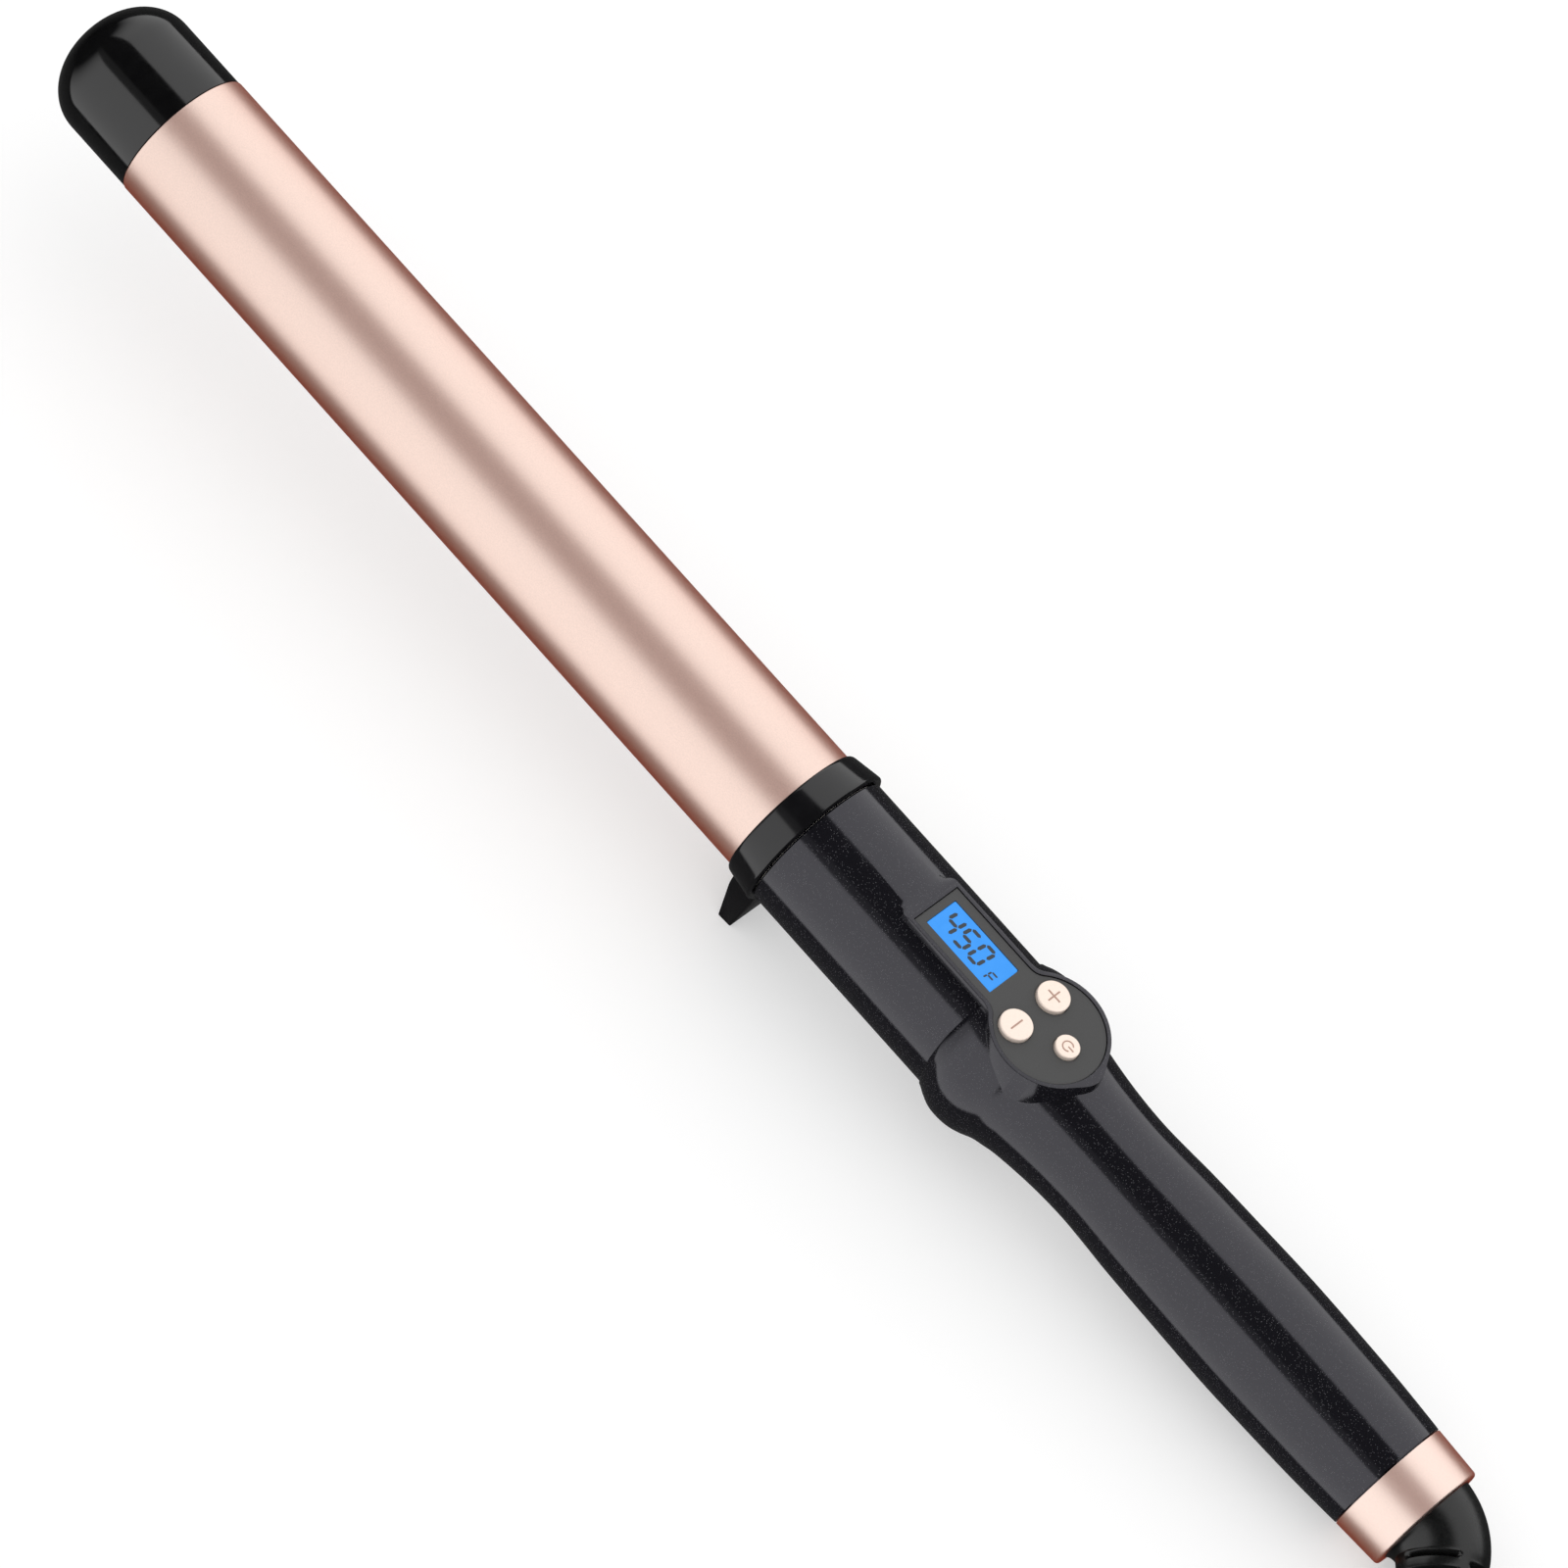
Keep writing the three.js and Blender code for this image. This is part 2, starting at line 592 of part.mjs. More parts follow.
// The hank's plan: round ends joined by sides that draw in to the waist.
function hankPlan() {
  const half = HANK.run / 2;
  const end = HANK.foldR + CORD_R;
  const steps = 10;
  const draw = (x) => (1 - Math.cos((Math.PI * x) / half)) / 2;
  const widthAt = (x) => HANK.waist + (end - HANK.waist) * draw(x);
  const plan = new THREE.Shape();
  plan.moveTo(-half, -end);
  for (let i = 1; i <= 2 * steps; i++) {
    const x = -half + (i * half) / steps;
    plan.lineTo(x, -widthAt(x));
  }
  plan.absarc(half, 0, end, -Math.PI / 2, Math.PI / 2, false);
  for (let i = 1; i <= 2 * steps; i++) {
    const x = half - (i * half) / steps;
    plan.lineTo(x, widthAt(x));
  }
  plan.absarc(-half, 0, end, Math.PI / 2, (3 * Math.PI) / 2, false);
  return plan;
}

function cordHank() {
  const nearFold = -HANK.run / 2;
  const lane = -HANK.foldR;
  const leadIn = box(nearFold - LEAD_IN, nearFold, lane - CORD_R, lane + CORD_R, 0.1, 6.2);
  const tieSlot = TIE.width / 2 + GAP;
  const plugRoom = PLUG.width / 2 + GAP;
  const deck = HANK.lift + 4 * CORD_R - 0.1; // two layers of cord carry the plug
  return slab(hankPlan(), 0.1, HANK.height)
    .add(leadIn)
    .subtract(box(-tieSlot, tieSlot, -40, 40, -1, HANK.lift))
    .subtract(box(-tieSlot, tieSlot, -40, 40, HANK.height - 0.3, HANK.height + 2))
    .subtract(box(-90, PLUG.entryX, PLUG.y - plugRoom, 60, deck, 40));
}

// A strap once round the hank's waist.
function hankTie() {
  const { width, thick } = TIE;
  const [inY, inTop] = [HANK.waist + 0.7, HANK.height];
  const outer = box(-width / 2, width / 2, -inY - thick, inY + thick, 0, inTop + thick);
  return outer.subtract(box(-width, width, -inY, inY, HANK.lift - GAP, inTop));
}

// The plug's body with a flexible relief that dips to meet the cord.
function mainsPlug() {
  const back = PLUG.entryX - PLUG.noseLength;
  const centre = PLUG.noseZ + 3;
  const body = new THREE.Shape();
  const [hw, hl, corner] = [PLUG.width / 2, PLUG.length / 2, 4];
  body.moveTo(-hl, -hw);
  body.lineTo(hl - corner, -hw);
  body.quadraticCurveTo(hl, -hw + 1, hl, -hw + corner + 3);
  body.lineTo(hl, hw - corner - 3);
  body.quadraticCurveTo(hl, hw - 1, hl - corner, hw);
  body.lineTo(-hl, hw);
  const block = slab(body, centre - PLUG.height / 2, centre + PLUG.height / 2, 5);
  const nose = new THREE.CatmullRomCurve3([
    new THREE.Vector3(PLUG.entryX - GAP, 0, PLUG.noseZ),
    new THREE.Vector3(PLUG.entryX - 4, 0, PLUG.noseZ + 0.4),
    new THREE.Vector3(PLUG.entryX - 11, 0, centre - 0.4),
    new THREE.Vector3(back - 3, 0, centre),
  ]);
  const relief = taperedTube(nose, (t) => 3.4 + 2.1 * t, 8, 16);
  return block.translate(back - hl, 0, 0).add(relief).translate(0, PLUG.y, 0);
}

function plugBlade(side) {
  const face = PLUG.entryX - PLUG.noseLength - PLUG.length - GAP;
  const centre = PLUG.noseZ + 3;
  const y = PLUG.y + (side * BLADE.pitch) / 2;
  return box(
    face - BLADE.length, face, y - BLADE.thick / 2, y + BLADE.thick / 2,
    centre - BLADE.width / 2, centre + BLADE.width / 2,
  );
}

// ---------------------------------------------------------------- the object
const iron = new THREE.Group();
iron.rotation.y = TILT;
iron.position.z = AXIS_HEIGHT;

iron.add(
  piece("barrel_tube", barrelTube(), roseGold),
  piece("cool_tip", coolTip(), glossBlack),
  piece("barrel_seat", barrelSeat(), ceramic),
  piece("barrel_collar", barrelCollar(), glossBlack),
  piece("heat_spreader_upper", heatSpreader(true), aluminium),
  piece("heat_spreader_lower", heatSpreader(false), aluminium),
  piece("ptc_heater_front", ptcHeater(-168), ceramic),
  piece("ptc_heater_rear", ptcHeater(-76), ceramic),
  piece("spreader_spring", spreaderSpring(), steel),
  piece("thermal_fuse", thermalFuse(), steel),
  piece("ntc_sensor", ntcSensor(), copper),
  piece("heater_lead_live", heaterLead(1), insulatorWhite),
  piece("heater_lead_neutral", heaterLead(-1), insulatorWhite),
  piece("handle_shell", handleShell(), sparkleBlack),
  piece("handle_bottom_cover", handleBottomCover(), sparkleBlack),
  piece("control_overlay", controlOverlay(), overlayGrey),
  piece("lcd_window", lcdWindow(), lcdBlue),
  piece("lcd_module", lcdModule(), aluminium),
  piece("control_board", controlBoard(), boardGreen),
  piece("microcontroller", microcontroller(), chipBlack),
  piece("power_board", powerBoard(), boardGreen),
  piece("triac", triac(), chipBlack),
  piece("film_capacitor", filmCapacitor(), filmYellow),
  piece("mains_lead_live", mainsLead(1), insulatorWhite),
  piece("mains_lead_neutral", mainsLead(-1), insulatorWhite),
  piece("tail_ring", tailRing(), satinRose),
  piece("swivel_retainer", swivelRetainer(), insulatorWhite),
  piece("swivel_hub", swivelHub(), insulatorWhite),
  piece("cord_boot", cordBoot(), cordBlack),
);
for (const [place, x] of Object.entries(SCREWS)) {
  iron.add(piece("cover_screw_" + place, coverScrew(x), steel));
}
for (const [name, place] of Object.entries(BUTTONS)) {
  iron.add(piece(name + "_button", button(place), satinRose));
  iron.add(piece("switch_" + name, tactileSwitch(place), chipBlack));
}
for (const [pole, place] of Object.entries(BRUSHES)) {
  iron.add(piece("brush_" + pole, brush(place), copper));
  iron.add(piece("slip_ring_" + pole, slipRing(place), copper));
}

// The iron stands centred on the origin, so half its length lies on each side.
iron.updateMatrixWorld(true);
const ironBox = new THREE.Box3();
iron.children
  .filter((mesh) => mesh.name !== "cord_boot")
  .forEach((mesh) => ironBox.expandByObject(mesh, true));
iron.position.x = -(ironBox.min.x + ironBox.max.x) / 2;
iron.updateMatrixWorld(true);

const bootEnd = iron.localToWorld(bootCurve().getPointAt(1));
const exitDirection = bootCurve().getTangentAt(1).transformDirection(iron.matrixWorld);

const hank = new THREE.Group();
hank.position.set(HANK.x, HANK.y, 0);
hank.add(
  piece("cord_hank", cordHank(), cordBlack),
  piece("hank_tie", hankTie(), strapBlack),
  piece("mains_plug", mainsPlug(), cordBlack),
  piece("plug_blade_live", plugBlade(-1), nickel),
  piece("plug_blade_neutral", plugBlade(1), nickel),
);

const curlingIron = new THREE.Group();
curlingIron.add(iron, hank, piece("cord_lead", cordLead(bootEnd, exitDirection), cordBlack));

export default curlingIron;
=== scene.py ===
"""Looks of a clipless curling iron with a display, three buttons and a swivel cord folded into a hank."""

import json
import math

import bmesh
import bpy
from mathutils import Matrix, Vector


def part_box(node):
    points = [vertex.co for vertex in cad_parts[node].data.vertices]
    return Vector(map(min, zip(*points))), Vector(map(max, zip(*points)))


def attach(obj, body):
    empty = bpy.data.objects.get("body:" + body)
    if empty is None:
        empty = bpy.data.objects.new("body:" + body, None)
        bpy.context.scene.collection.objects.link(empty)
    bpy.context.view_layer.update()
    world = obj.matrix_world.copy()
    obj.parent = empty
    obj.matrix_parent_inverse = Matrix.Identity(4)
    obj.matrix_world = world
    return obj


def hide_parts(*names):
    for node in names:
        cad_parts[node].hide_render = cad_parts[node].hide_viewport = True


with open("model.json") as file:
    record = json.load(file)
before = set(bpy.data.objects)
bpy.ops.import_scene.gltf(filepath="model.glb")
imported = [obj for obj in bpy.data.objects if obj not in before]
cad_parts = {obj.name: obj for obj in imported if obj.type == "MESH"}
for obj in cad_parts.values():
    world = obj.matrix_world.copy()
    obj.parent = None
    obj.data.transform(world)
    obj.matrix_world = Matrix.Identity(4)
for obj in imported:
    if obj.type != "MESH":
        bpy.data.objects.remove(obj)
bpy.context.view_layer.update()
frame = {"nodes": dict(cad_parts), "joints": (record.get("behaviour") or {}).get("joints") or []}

MM = 0.001

# ---------------------------------------------------------------- places, from the frame
joints = {j["name"]: j for j in frame["joints"]}
ALONG = Vector(joints["swivel_turn"]["axis"]).normalized()
UP = -Vector(joints["power_press"]["axis"]).normalized()
ACROSS = UP.cross(ALONG)
SWIVEL_X = 175
ORIGIN = Vector(joints["swivel_turn"]["pos_m"]) - ALONG * SWIVEL_X * MM

TURN = Matrix((ALONG, ACROSS, UP)).transposed().to_4x4()
IRON = Matrix.Translation(ORIGIN) @ TURN @ Matrix.Scale(MM, 4)  # iron millimetres to the frame

tie_lo, tie_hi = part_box("hank_tie")
HANK_AT = Vector(((tie_lo.x + tie_hi.x) / 2, (tie_lo.y + tie_hi.y) / 2, 0))
HANK = Matrix.Translation(HANK_AT) @ Matrix.Scale(MM, 4)  # hank millimetres to the frame

# ---------------------------------------------------------------- sizes, in millimetres
GAP = 0.3
SIDES = 160

BARREL_R = 16
BARREL_WALL = 0.9
BARREL_FRONT = -189.2
BARREL_REAR = 5
TIP_FRONT = -218.5
TIP_R = 15.85
TIP_DOME = 12
COLLAR_FRONT = 0.5
COLLAR_REAR = 8.1
FOOT_DEPTH = 28
FOOT_HALF_WIDTH = 11.3
FOOT_X = 5.1

SEAM = 0.2  # not free to change: at 0.15 or 0.22 a boolean fails and the well under the panel stays closed
HANDLE_FRONT = COLLAR_REAR + SEAM
HANDLE_REAR = 179.5
SPLIT_Z = -10
PAD_TOP = 17
PAD_RIM = 1.0
FILLET = 2.2  # where the boss's strip meets its disc
BOSS_FLARE = 1.4
RAMP = 4.5
STRIP_FRONT = 36.2
STRIP_HALF_WIDTH = 6.4
DISC_X = 70.35
DISC_R = 12.1
NOSE_X = 85.6
OVERLAY_TOP = 16.75
OVERLAY_THICK = 0.8
WINDOW_X, WINDOW_Y, WINDOW_LENGTH, WINDOW_WIDTH = 47.55, -0.25, 19, 8.7
BUTTON_TOP = 17.75
BUTTONS = {"plus": (65.6, 5.6, 3.6), "minus": (65.6, -5.6, 3.6), "power": (75.3, 0, 2.7)}
SCREWS = {"front": 24, "middle": 66, "rear": 142}

RING_FRONT = 179.8
RING_REAR = 191.2
RING_R = 13.75
RING_REAR_R = 13.3
BOOT_START = 185
BOOT_BASE_R = 11
BOOT_END_R = 4.3
BOOT_BEND_R = 11.5
BOOT_STRAIGHT = 31
BOOT_LEAVES = Vector((0.669, -0.735, -0.11)).normalized()

CORD_R = 3
RUN = 110  # length of the hank's runs
OUTER_R, INNER_R = 24, 18
OUTER_WAIST, INNER_WAIST = 9, 3
LAYER = 2 * CORD_R

# ---------------------------------------------------------------- meshes
def put(name, bm, matrix, sharp=30):
    """A mesh object from bm, baked into the frame, smooth but for edges over the sharp angle."""
    bmesh.ops.remove_doubles(bm, verts=bm.verts, dist=1e-4)
    bmesh.ops.recalc_face_normals(bm, faces=bm.faces)
    mesh = bpy.data.meshes.new(name)
    bm.to_mesh(mesh)
    bm.free()
    mesh.transform(matrix)
    obj = bpy.data.objects.new(name, mesh)
    bpy.context.scene.collection.objects.link(obj)
    smooth(obj, sharp)
    return obj


def smooth(obj, sharp):
    obj.data.shade_smooth()
    obj.data.set_sharp_from_angle(angle=math.radians(sharp))


def skin(rings, loop=False):
    """A closed mesh over rings of points: the last ring meets the first, or both ends are capped."""
    bm = bmesh.new()
    rows = [[bm.verts.new(p) for p in ring] for ring in rings]
    count = len(rows[0])
    pairs = list(zip(rows, rows[1:]))
    if loop:
        pairs.append((rows[-1], rows[0]))
    for a, b in pairs:
        for i in range(count):
            j = (i + 1) % count
            bm.faces.new((a[i], a[j], b[j], b[i]))
    if not loop:
        bm.faces.new(rows[0])
        bm.faces.new(rows[-1])
    return bm


def bend(a, corner, b, steps):
    """Points of the soft curve from a to b that a corner pulls towards itself."""
    a, corner, b = Vector(a), Vector(corner), Vector(b)
    made = []
    for i in range(steps + 1):
        t = i / steps
        made.append(a * (1 - t) ** 2 + corner * 2 * t * (1 - t) + b * t * t)
    return made


def rounded(outline, steps=5):
    """A closed outline of (u, v, radius) corners, with each corner rounded off."""
    made = []
    for i, (u, v, radius) in enumerate(outline):
        here = Vector((u, v))
        before = Vector(outline[i - 1][:2])
        after = Vector(outline[(i + 1) % len(outline)][:2])
        if radius <= 0:
            made.append(here)
            continue
        back, ahead = before - here, after - here
        start = here + back.normalized() * min(radius, back.length * 0.49)
        end = here + ahead.normalized() * min(radius, ahead.length * 0.49)
        made.extend(bend(start, here, end, steps))
    return made


def turned(outline, sides=SIDES):
    """A closed outline of (x, radius) turned about the x axis."""
    angles = [2 * math.pi * i / sides for i in range(sides)]
    rings = [[(x, r * math.cos(a), r * math.sin(a)) for a in angles] for x, r in outline]
    return skin(rings, loop=True)


def upright(outline, x=0, y=0, sides=64):
    """A closed outline of (radius, z) turned about the vertical line through x, y."""
    angles = [2 * math.pi * i / sides for i in range(sides)]
    rings = [[(x + r * math.cos(a), y + r * math.sin(a), z) for a in angles] for r, z in outline]
    return skin(rings, loop=True)


def post(x, y, z0, z1, r, sides=64):
    return upright([(0, z0), (r, z0), (r, z1), (0, z1)], x, y, sides)


def block(x0, x1, y0, y1, z0, z1):
    plan = [(x0, y0), (x1, y0), (x1, y1), (x0, y1)]
    return skin([[(x, y, z) for x, y in plan] for z in (z0, z1)])


def stacked(outline_at, levels):
    """A plan outline through (growth, z) levels, so that its rims can be rounded."""
    return skin([[(x, y, z) for x, y in outline_at(grow)] for grow, z in levels])


def combine(obj, others, operation):
    """obj joined with, or cut by, other solids, which are used up."""
    for bm in others:
        tool = put("tool", bm, Matrix.Identity(4))
        modifier = obj.modifiers.new("combine", "BOOLEAN")
        modifier.operation = operation
        modifier.solver = "EXACT"
        modifier.object = tool
        result = bpy.data.meshes.new_from_object(obj.evaluated_get(bpy.context.evaluated_depsgraph_get()))
        obj.modifiers.clear()
        old = obj.data
        obj.data = result
        bpy.data.meshes.remove(old)
        used = tool.data
        bpy.data.objects.remove(tool)
        bpy.data.meshes.remove(used)


def solid(name, bm):
    """A workpiece still in its own millimetres, for joining and cutting."""
    return put(name, bm, Matrix.Identity(4))


def settle(obj, matrix=IRON, sharp=30):
    """Bakes a finished workpiece into the frame."""
    obj.data.transform(matrix)
    smooth(obj, sharp)
    return obj


def hermite(points, step):
    """A smooth curve through (x, r) points of rising x."""
    slopes = []
    for i in range(len(points)):
        (x0, r0), (x1, r1) = points[max(i - 1, 0)], points[min(i + 1, len(points) - 1)]
        slopes.append((r1 - r0) / (x1 - x0))
    made = []
    for i, ((x0, r0), (x1, r1)) in enumerate(zip(points, points[1:])):
        span = x1 - x0
        count = max(2, round(span / step))
        for k in range(count):
            t = k / count
            r = (2 * t**3 - 3 * t**2 + 1) * r0 + (3 * t**2 - 2 * t**3) * r1
            r += (t**3 - 2 * t**2 + t) * span * slopes[i] + (t**3 - t**2) * span * slopes[i + 1]
            made.append((x0 + t * span, r))
    return made + [points[-1]]


def swept(path, section_at, flat_up=Vector((0, 0, 1))):
    """A capped tube along path: section_at(i) gives ring points as (side, up) offsets."""
    rings = []
    for i, p in enumerate(path):
        ahead = path[min(i + 1, len(path) - 1)] - path[max(i - 1, 0)]
        ahead.normalize()
        side = ahead.cross(flat_up).normalized()
        up = side.cross(ahead)
        rings.append([p + side * s + up * u for s, u in section_at(i)])
    return skin(rings)


# ---------------------------------------------------------------- materials
def material(name, color, roughness, **sockets):
    """A Principled material; the sockets are those that stay the same all over it."""
    mat = bpy.data.materials.new(name)
    mat.use_nodes = True
    shader = mat.node_tree.nodes["Principled BSDF"]
    shader.inputs["Base Color"].default_value = (*color, 1)
    shader.inputs["Roughness"].default_value = roughness
    for socket, value in sockets.items():
        shader.inputs[socket.replace("_", " ")].default_value = value
    return mat


def node(mat, kind, **settings):
    made = mat.node_tree.nodes.new(kind)
    for key, value in settings.items():
        if key in made.inputs:
            made.inputs[key].default_value = value
        else:
            setattr(made, key, value)
    return made


def shader_of(mat):
    return mat.node_tree.nodes["Principled BSDF"]


def texture(mat, kind, **settings):
    """A texture in the piece's own coordinates."""
    place = mat.node_tree.nodes.get("Texture Coordinate") or node(mat, "ShaderNodeTexCoord")
    made = node(mat, kind, **settings)
    mat.node_tree.links.new(place.outputs["Object"], made.inputs["Vector"])
    return made


def ramp(mat, source, low, high, low_color, high_color):
    """Maps low..high of a texture's value to a colour range."""
    made = node(mat, "ShaderNodeValToRGB")
    stops = made.color_ramp.elements
    stops[0].position, stops[0].color = low, (*low_color, 1)
    stops[1].position, stops[1].color = high, (*high_color, 1)
    mat.node_tree.links.new(source, made.inputs["Fac"])
    return made.outputs["Color"]


def bump(mat, height, strength, distance):
    made = node(mat, "ShaderNodeBump", Strength=strength, Distance=distance)
    mat.node_tree.links.new(height, made.inputs["Height"])
    mat.node_tree.links.new(made.outputs["Normal"], shader_of(mat).inputs["Normal"])


def vary(mat, scale, color_a, color_b, rough_a, rough_b, bump_strength=0.0, depth=2e-5, detail=3.0):
    """Fine mottling of colour and roughness, with a matching relief."""
    noise = texture(mat, "ShaderNodeTexNoise", Scale=scale, Detail=detail)
    links = mat.node_tree.links
    fac = noise.outputs["Fac"]
    links.new(ramp(mat, fac, 0.3, 0.7, color_a, color_b), shader_of(mat).inputs["Base Color"])
    rough = ramp(mat, fac, 0.3, 0.7, (rough_a,) * 3, (rough_b,) * 3)
    links.new(rough, shader_of(mat).inputs["Roughness"])
    if bump_strength:
        bump(mat, fac, bump_strength, depth)
    return mat


def times(color, factor):
    return tuple(min(1.0, c * factor) for c in color)


def plain(name, color, roughness, scale=900, contrast=0.08, **sockets):
    """A moulded or cast material with fine mottling."""
    mat = material(name, color, roughness, **sockets)
    low, high = times(color, 1 - contrast), times(color, 1 + contrast)
    return vary(mat, scale, low, high, roughness * 0.9, roughness * 1.1, 0.08)


def rose_gold_barrel():
    color = (0.673, 0.528, 0.468)
    mat = material("rose_gold_barrel", color, 0.36, Metallic=1.0, Specular_Tint=(0.85, 0.18, 0.1, 1))
    return vary(mat, 3200, times(color, 0.93), times(color, 1.06), 0.34, 0.40, 0.12, 2e-5, 6.0)


def rose_gold_trim():
    color = (0.70, 0.562, 0.503)
    mat = material("rose_gold_trim", color, 0.34, Metallic=1.0, Specular_Tint=(0.85, 0.18, 0.1, 1))
    return vary(mat, 2500, times(color, 0.97), times(color, 1.03), 0.33, 0.37, 0.05)


def rose_gold_cap():
    color = (0.815, 0.69, 0.605)
    mat = material("rose_gold_cap", color, 0.35, Metallic=0.35)
    return vary(mat, 2500, times(color, 0.97), times(color, 1.03), 0.32, 0.38, 0.05)


def gloss_black():
    color = (0.0036, 0.0036, 0.0038)
    mat = material("gloss_black", color, 0.12)
    return vary(mat, 400, times(color, 0.9), times(color, 1.2), 0.10, 0.13)


def collar_black():
    color = (0.0056, 0.0054, 0.0062)
    mat = material("collar_black", color, 0.14, Specular_IOR_Level=0.42)
    return vary(mat, 400, times(color, 0.9), times(color, 1.2), 0.12, 0.15)


def sparkle_black():
    """Gloss charcoal with sparse silver flakes just under the surface."""
    base = (0.0076, 0.0073, 0.0096)
    mat = material("sparkle_black", base, 0.13, Specular_IOR_Level=0.53, Specular_Tint=(0.925, 0.91, 1.0, 1))
    links = mat.node_tree.links
    cells = texture(mat, "ShaderNodeTexVoronoi", Scale=3400.0)
    dot = node(mat, "ShaderNodeMath", operation="LESS_THAN")
    dot.inputs[1].default_value = 0.3
    links.new(cells.outputs["Distance"], dot.inputs[0])
    split = node(mat, "ShaderNodeSeparateColor")
    links.new(cells.outputs["Color"], split.inputs["Color"])
    rare = node(mat, "ShaderNodeMath", operation="GREATER_THAN")
    rare.inputs[1].default_value = 0.7
    links.new(split.outputs["Red"], rare.inputs[0])
    flake = node(mat, "ShaderNodeMath", operation="MULTIPLY")
    links.new(dot.outputs[0], flake.inputs[0])
    links.new(rare.outputs[0], flake.inputs[1])
    color = ramp(mat, flake.outputs[0], 0.0, 1.0, base, (0.06, 0.058, 0.064))
    links.new(color, shader_of(mat).inputs["Base Color"])
    rough = ramp(mat, flake.outputs[0], 0.0, 1.0, (0.13,) * 3, (0.4,) * 3)
    links.new(rough, shader_of(mat).inputs["Roughness"])
    return mat


def overlay_grey():
    color = (0.062, 0.062, 0.062)
    mat = material("overlay_grey", color, 0.62, Specular_IOR_Level=0.25)
    return vary(mat, 5000, times(color, 0.93), times(color, 1.07), 0.58, 0.66, 0.1)


def lcd_blue():
    mat = material("lcd_blue", (0.005, 0.015, 0.04), 0.25, Specular_IOR_Level=0.2)
    shader_of(mat).inputs["Emission Strength"].default_value = 1.0
    grid = texture(mat, "ShaderNodeTexNoise", Scale=500.0)
    glow = ramp(mat, grid.outputs["Fac"], 0.2, 0.8, (0.034, 0.31, 0.90), (0.044, 0.335, 0.94))
    mat.node_tree.links.new(glow, shader_of(mat).inputs["Emission Color"])
    return mat


def cord_black():
    color = (0.011, 0.011, 0.012)
    mat = material("cord_black", color, 0.42)
    return vary(mat, 1800, times(color, 0.85), times(color, 1.25), 0.38, 0.48, 0.15)


def boot_black():
    color = (0.0045, 0.0047, 0.0047)
    mat = material("boot_black", color, 0.3, Specular_IOR_Level=0.4)
    return vary(mat, 1500, times(color, 0.85), times(color, 1.2), 0.27, 0.34, 0.06)


def strap_black():
    """Woven loop tape: fine ribs across the strap and a soft pile."""
    mat = material("strap_black", (0.016, 0.016, 0.017), 0.85, Sheen_Weight=0.35)
    weave = texture(mat, "ShaderNodeTexWave", Scale=420.0, Distortion=1.2, Detail=2.0)
    links = mat.node_tree.links
    fac = weave.outputs["Fac"]
    links.new(ramp(mat, fac, 0.1, 0.9, (0.010,) * 3, (0.028,) * 3), shader_of(mat).inputs["Base Color"])
    bump(mat, fac, 0.5, 1.5e-4)
    return mat


def brushed(name, color, roughness):
    """Metal with fine lines from rolling or machining."""
    mat = material(name, color, roughness, Metallic=1.0)
    grain = texture(mat, "ShaderNodeTexWave", Scale=900.0, Distortion=6.0, Detail=4.0)
    links = mat.node_tree.links
    fac = grain.outputs["Fac"]
    lines = ramp(mat, fac, 0, 1, times(color, 0.94), times(color, 1.05))
    links.new(lines, shader_of(mat).inputs["Base Color"])
    rough = ramp(mat, fac, 0, 1, (roughness * 0.85,) * 3, (roughness * 1.15,) * 3)
    links.new(rough, shader_of(mat).inputs["Roughness"])
    return mat


ROSE_BARREL = rose_gold_barrel()
ROSE_TRIM = rose_gold_trim()
ROSE_CAP = rose_gold_cap()
GLOSS_BLACK = gloss_black()
COLLAR = collar_black()
SPARKLE = sparkle_black()
OVERLAY = overlay_grey()
LCD = lcd_blue()
LCD_INK = plain("lcd_ink", (0.008, 0.02, 0.035), 0.4)
SYMBOL = plain("button_symbol", (0.42, 0.25, 0.19), 0.45)
CORD_BLACK = cord_black()
BOOT_BLACK = boot_black()
STRAP = strap_black()
NICKEL = brushed("nickel", (0.72, 0.70, 0.66), 0.28)
STEEL = brushed("steel", (0.50, 0.50, 0.52), 0.32)
ALUMINIUM = brushed("aluminium", (0.66, 0.67, 0.68), 0.36)
COPPER = brushed("copper", (0.70, 0.38, 0.22), 0.3)
CERAMIC = plain("ceramic", (0.80, 0.77, 0.70), 0.75)
BOARD = plain("board_green", (0.02, 0.12, 0.05), 0.45, contrast=0.2)
CHIP = plain("chip_black", (0.02, 0.02, 0.02), 0.5)
FILM = plain("film_yellow", (0.55, 0.34, 0.05), 0.4)
INSULATOR = plain("insulator_white", (0.74, 0.74, 0.71), 0.5)


def give(obj, mat, body, slot, *nodes):
    """Finishes a piece: its material, the body it rides on and the CAD nodes it stands for."""
    obj.data.materials.clear()
    obj.data.materials.append(mat)
    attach(obj, body)
    if nodes:
        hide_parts(*nodes)
    return obj


# ---------------------------------------------------------------- camera
CAMERA_DISTANCE = 1.5826
AIM_X, AIM_SIDE = -4.65, 2.8  # the aim point: along the barrel's axis, then across the view
SWING = math.radians(9.7)  # of the camera, towards the tail
LEAN = math.radians(34)  # of the controls, away from the camera
ROLL = math.radians(48.04)  # of the barrel in the view


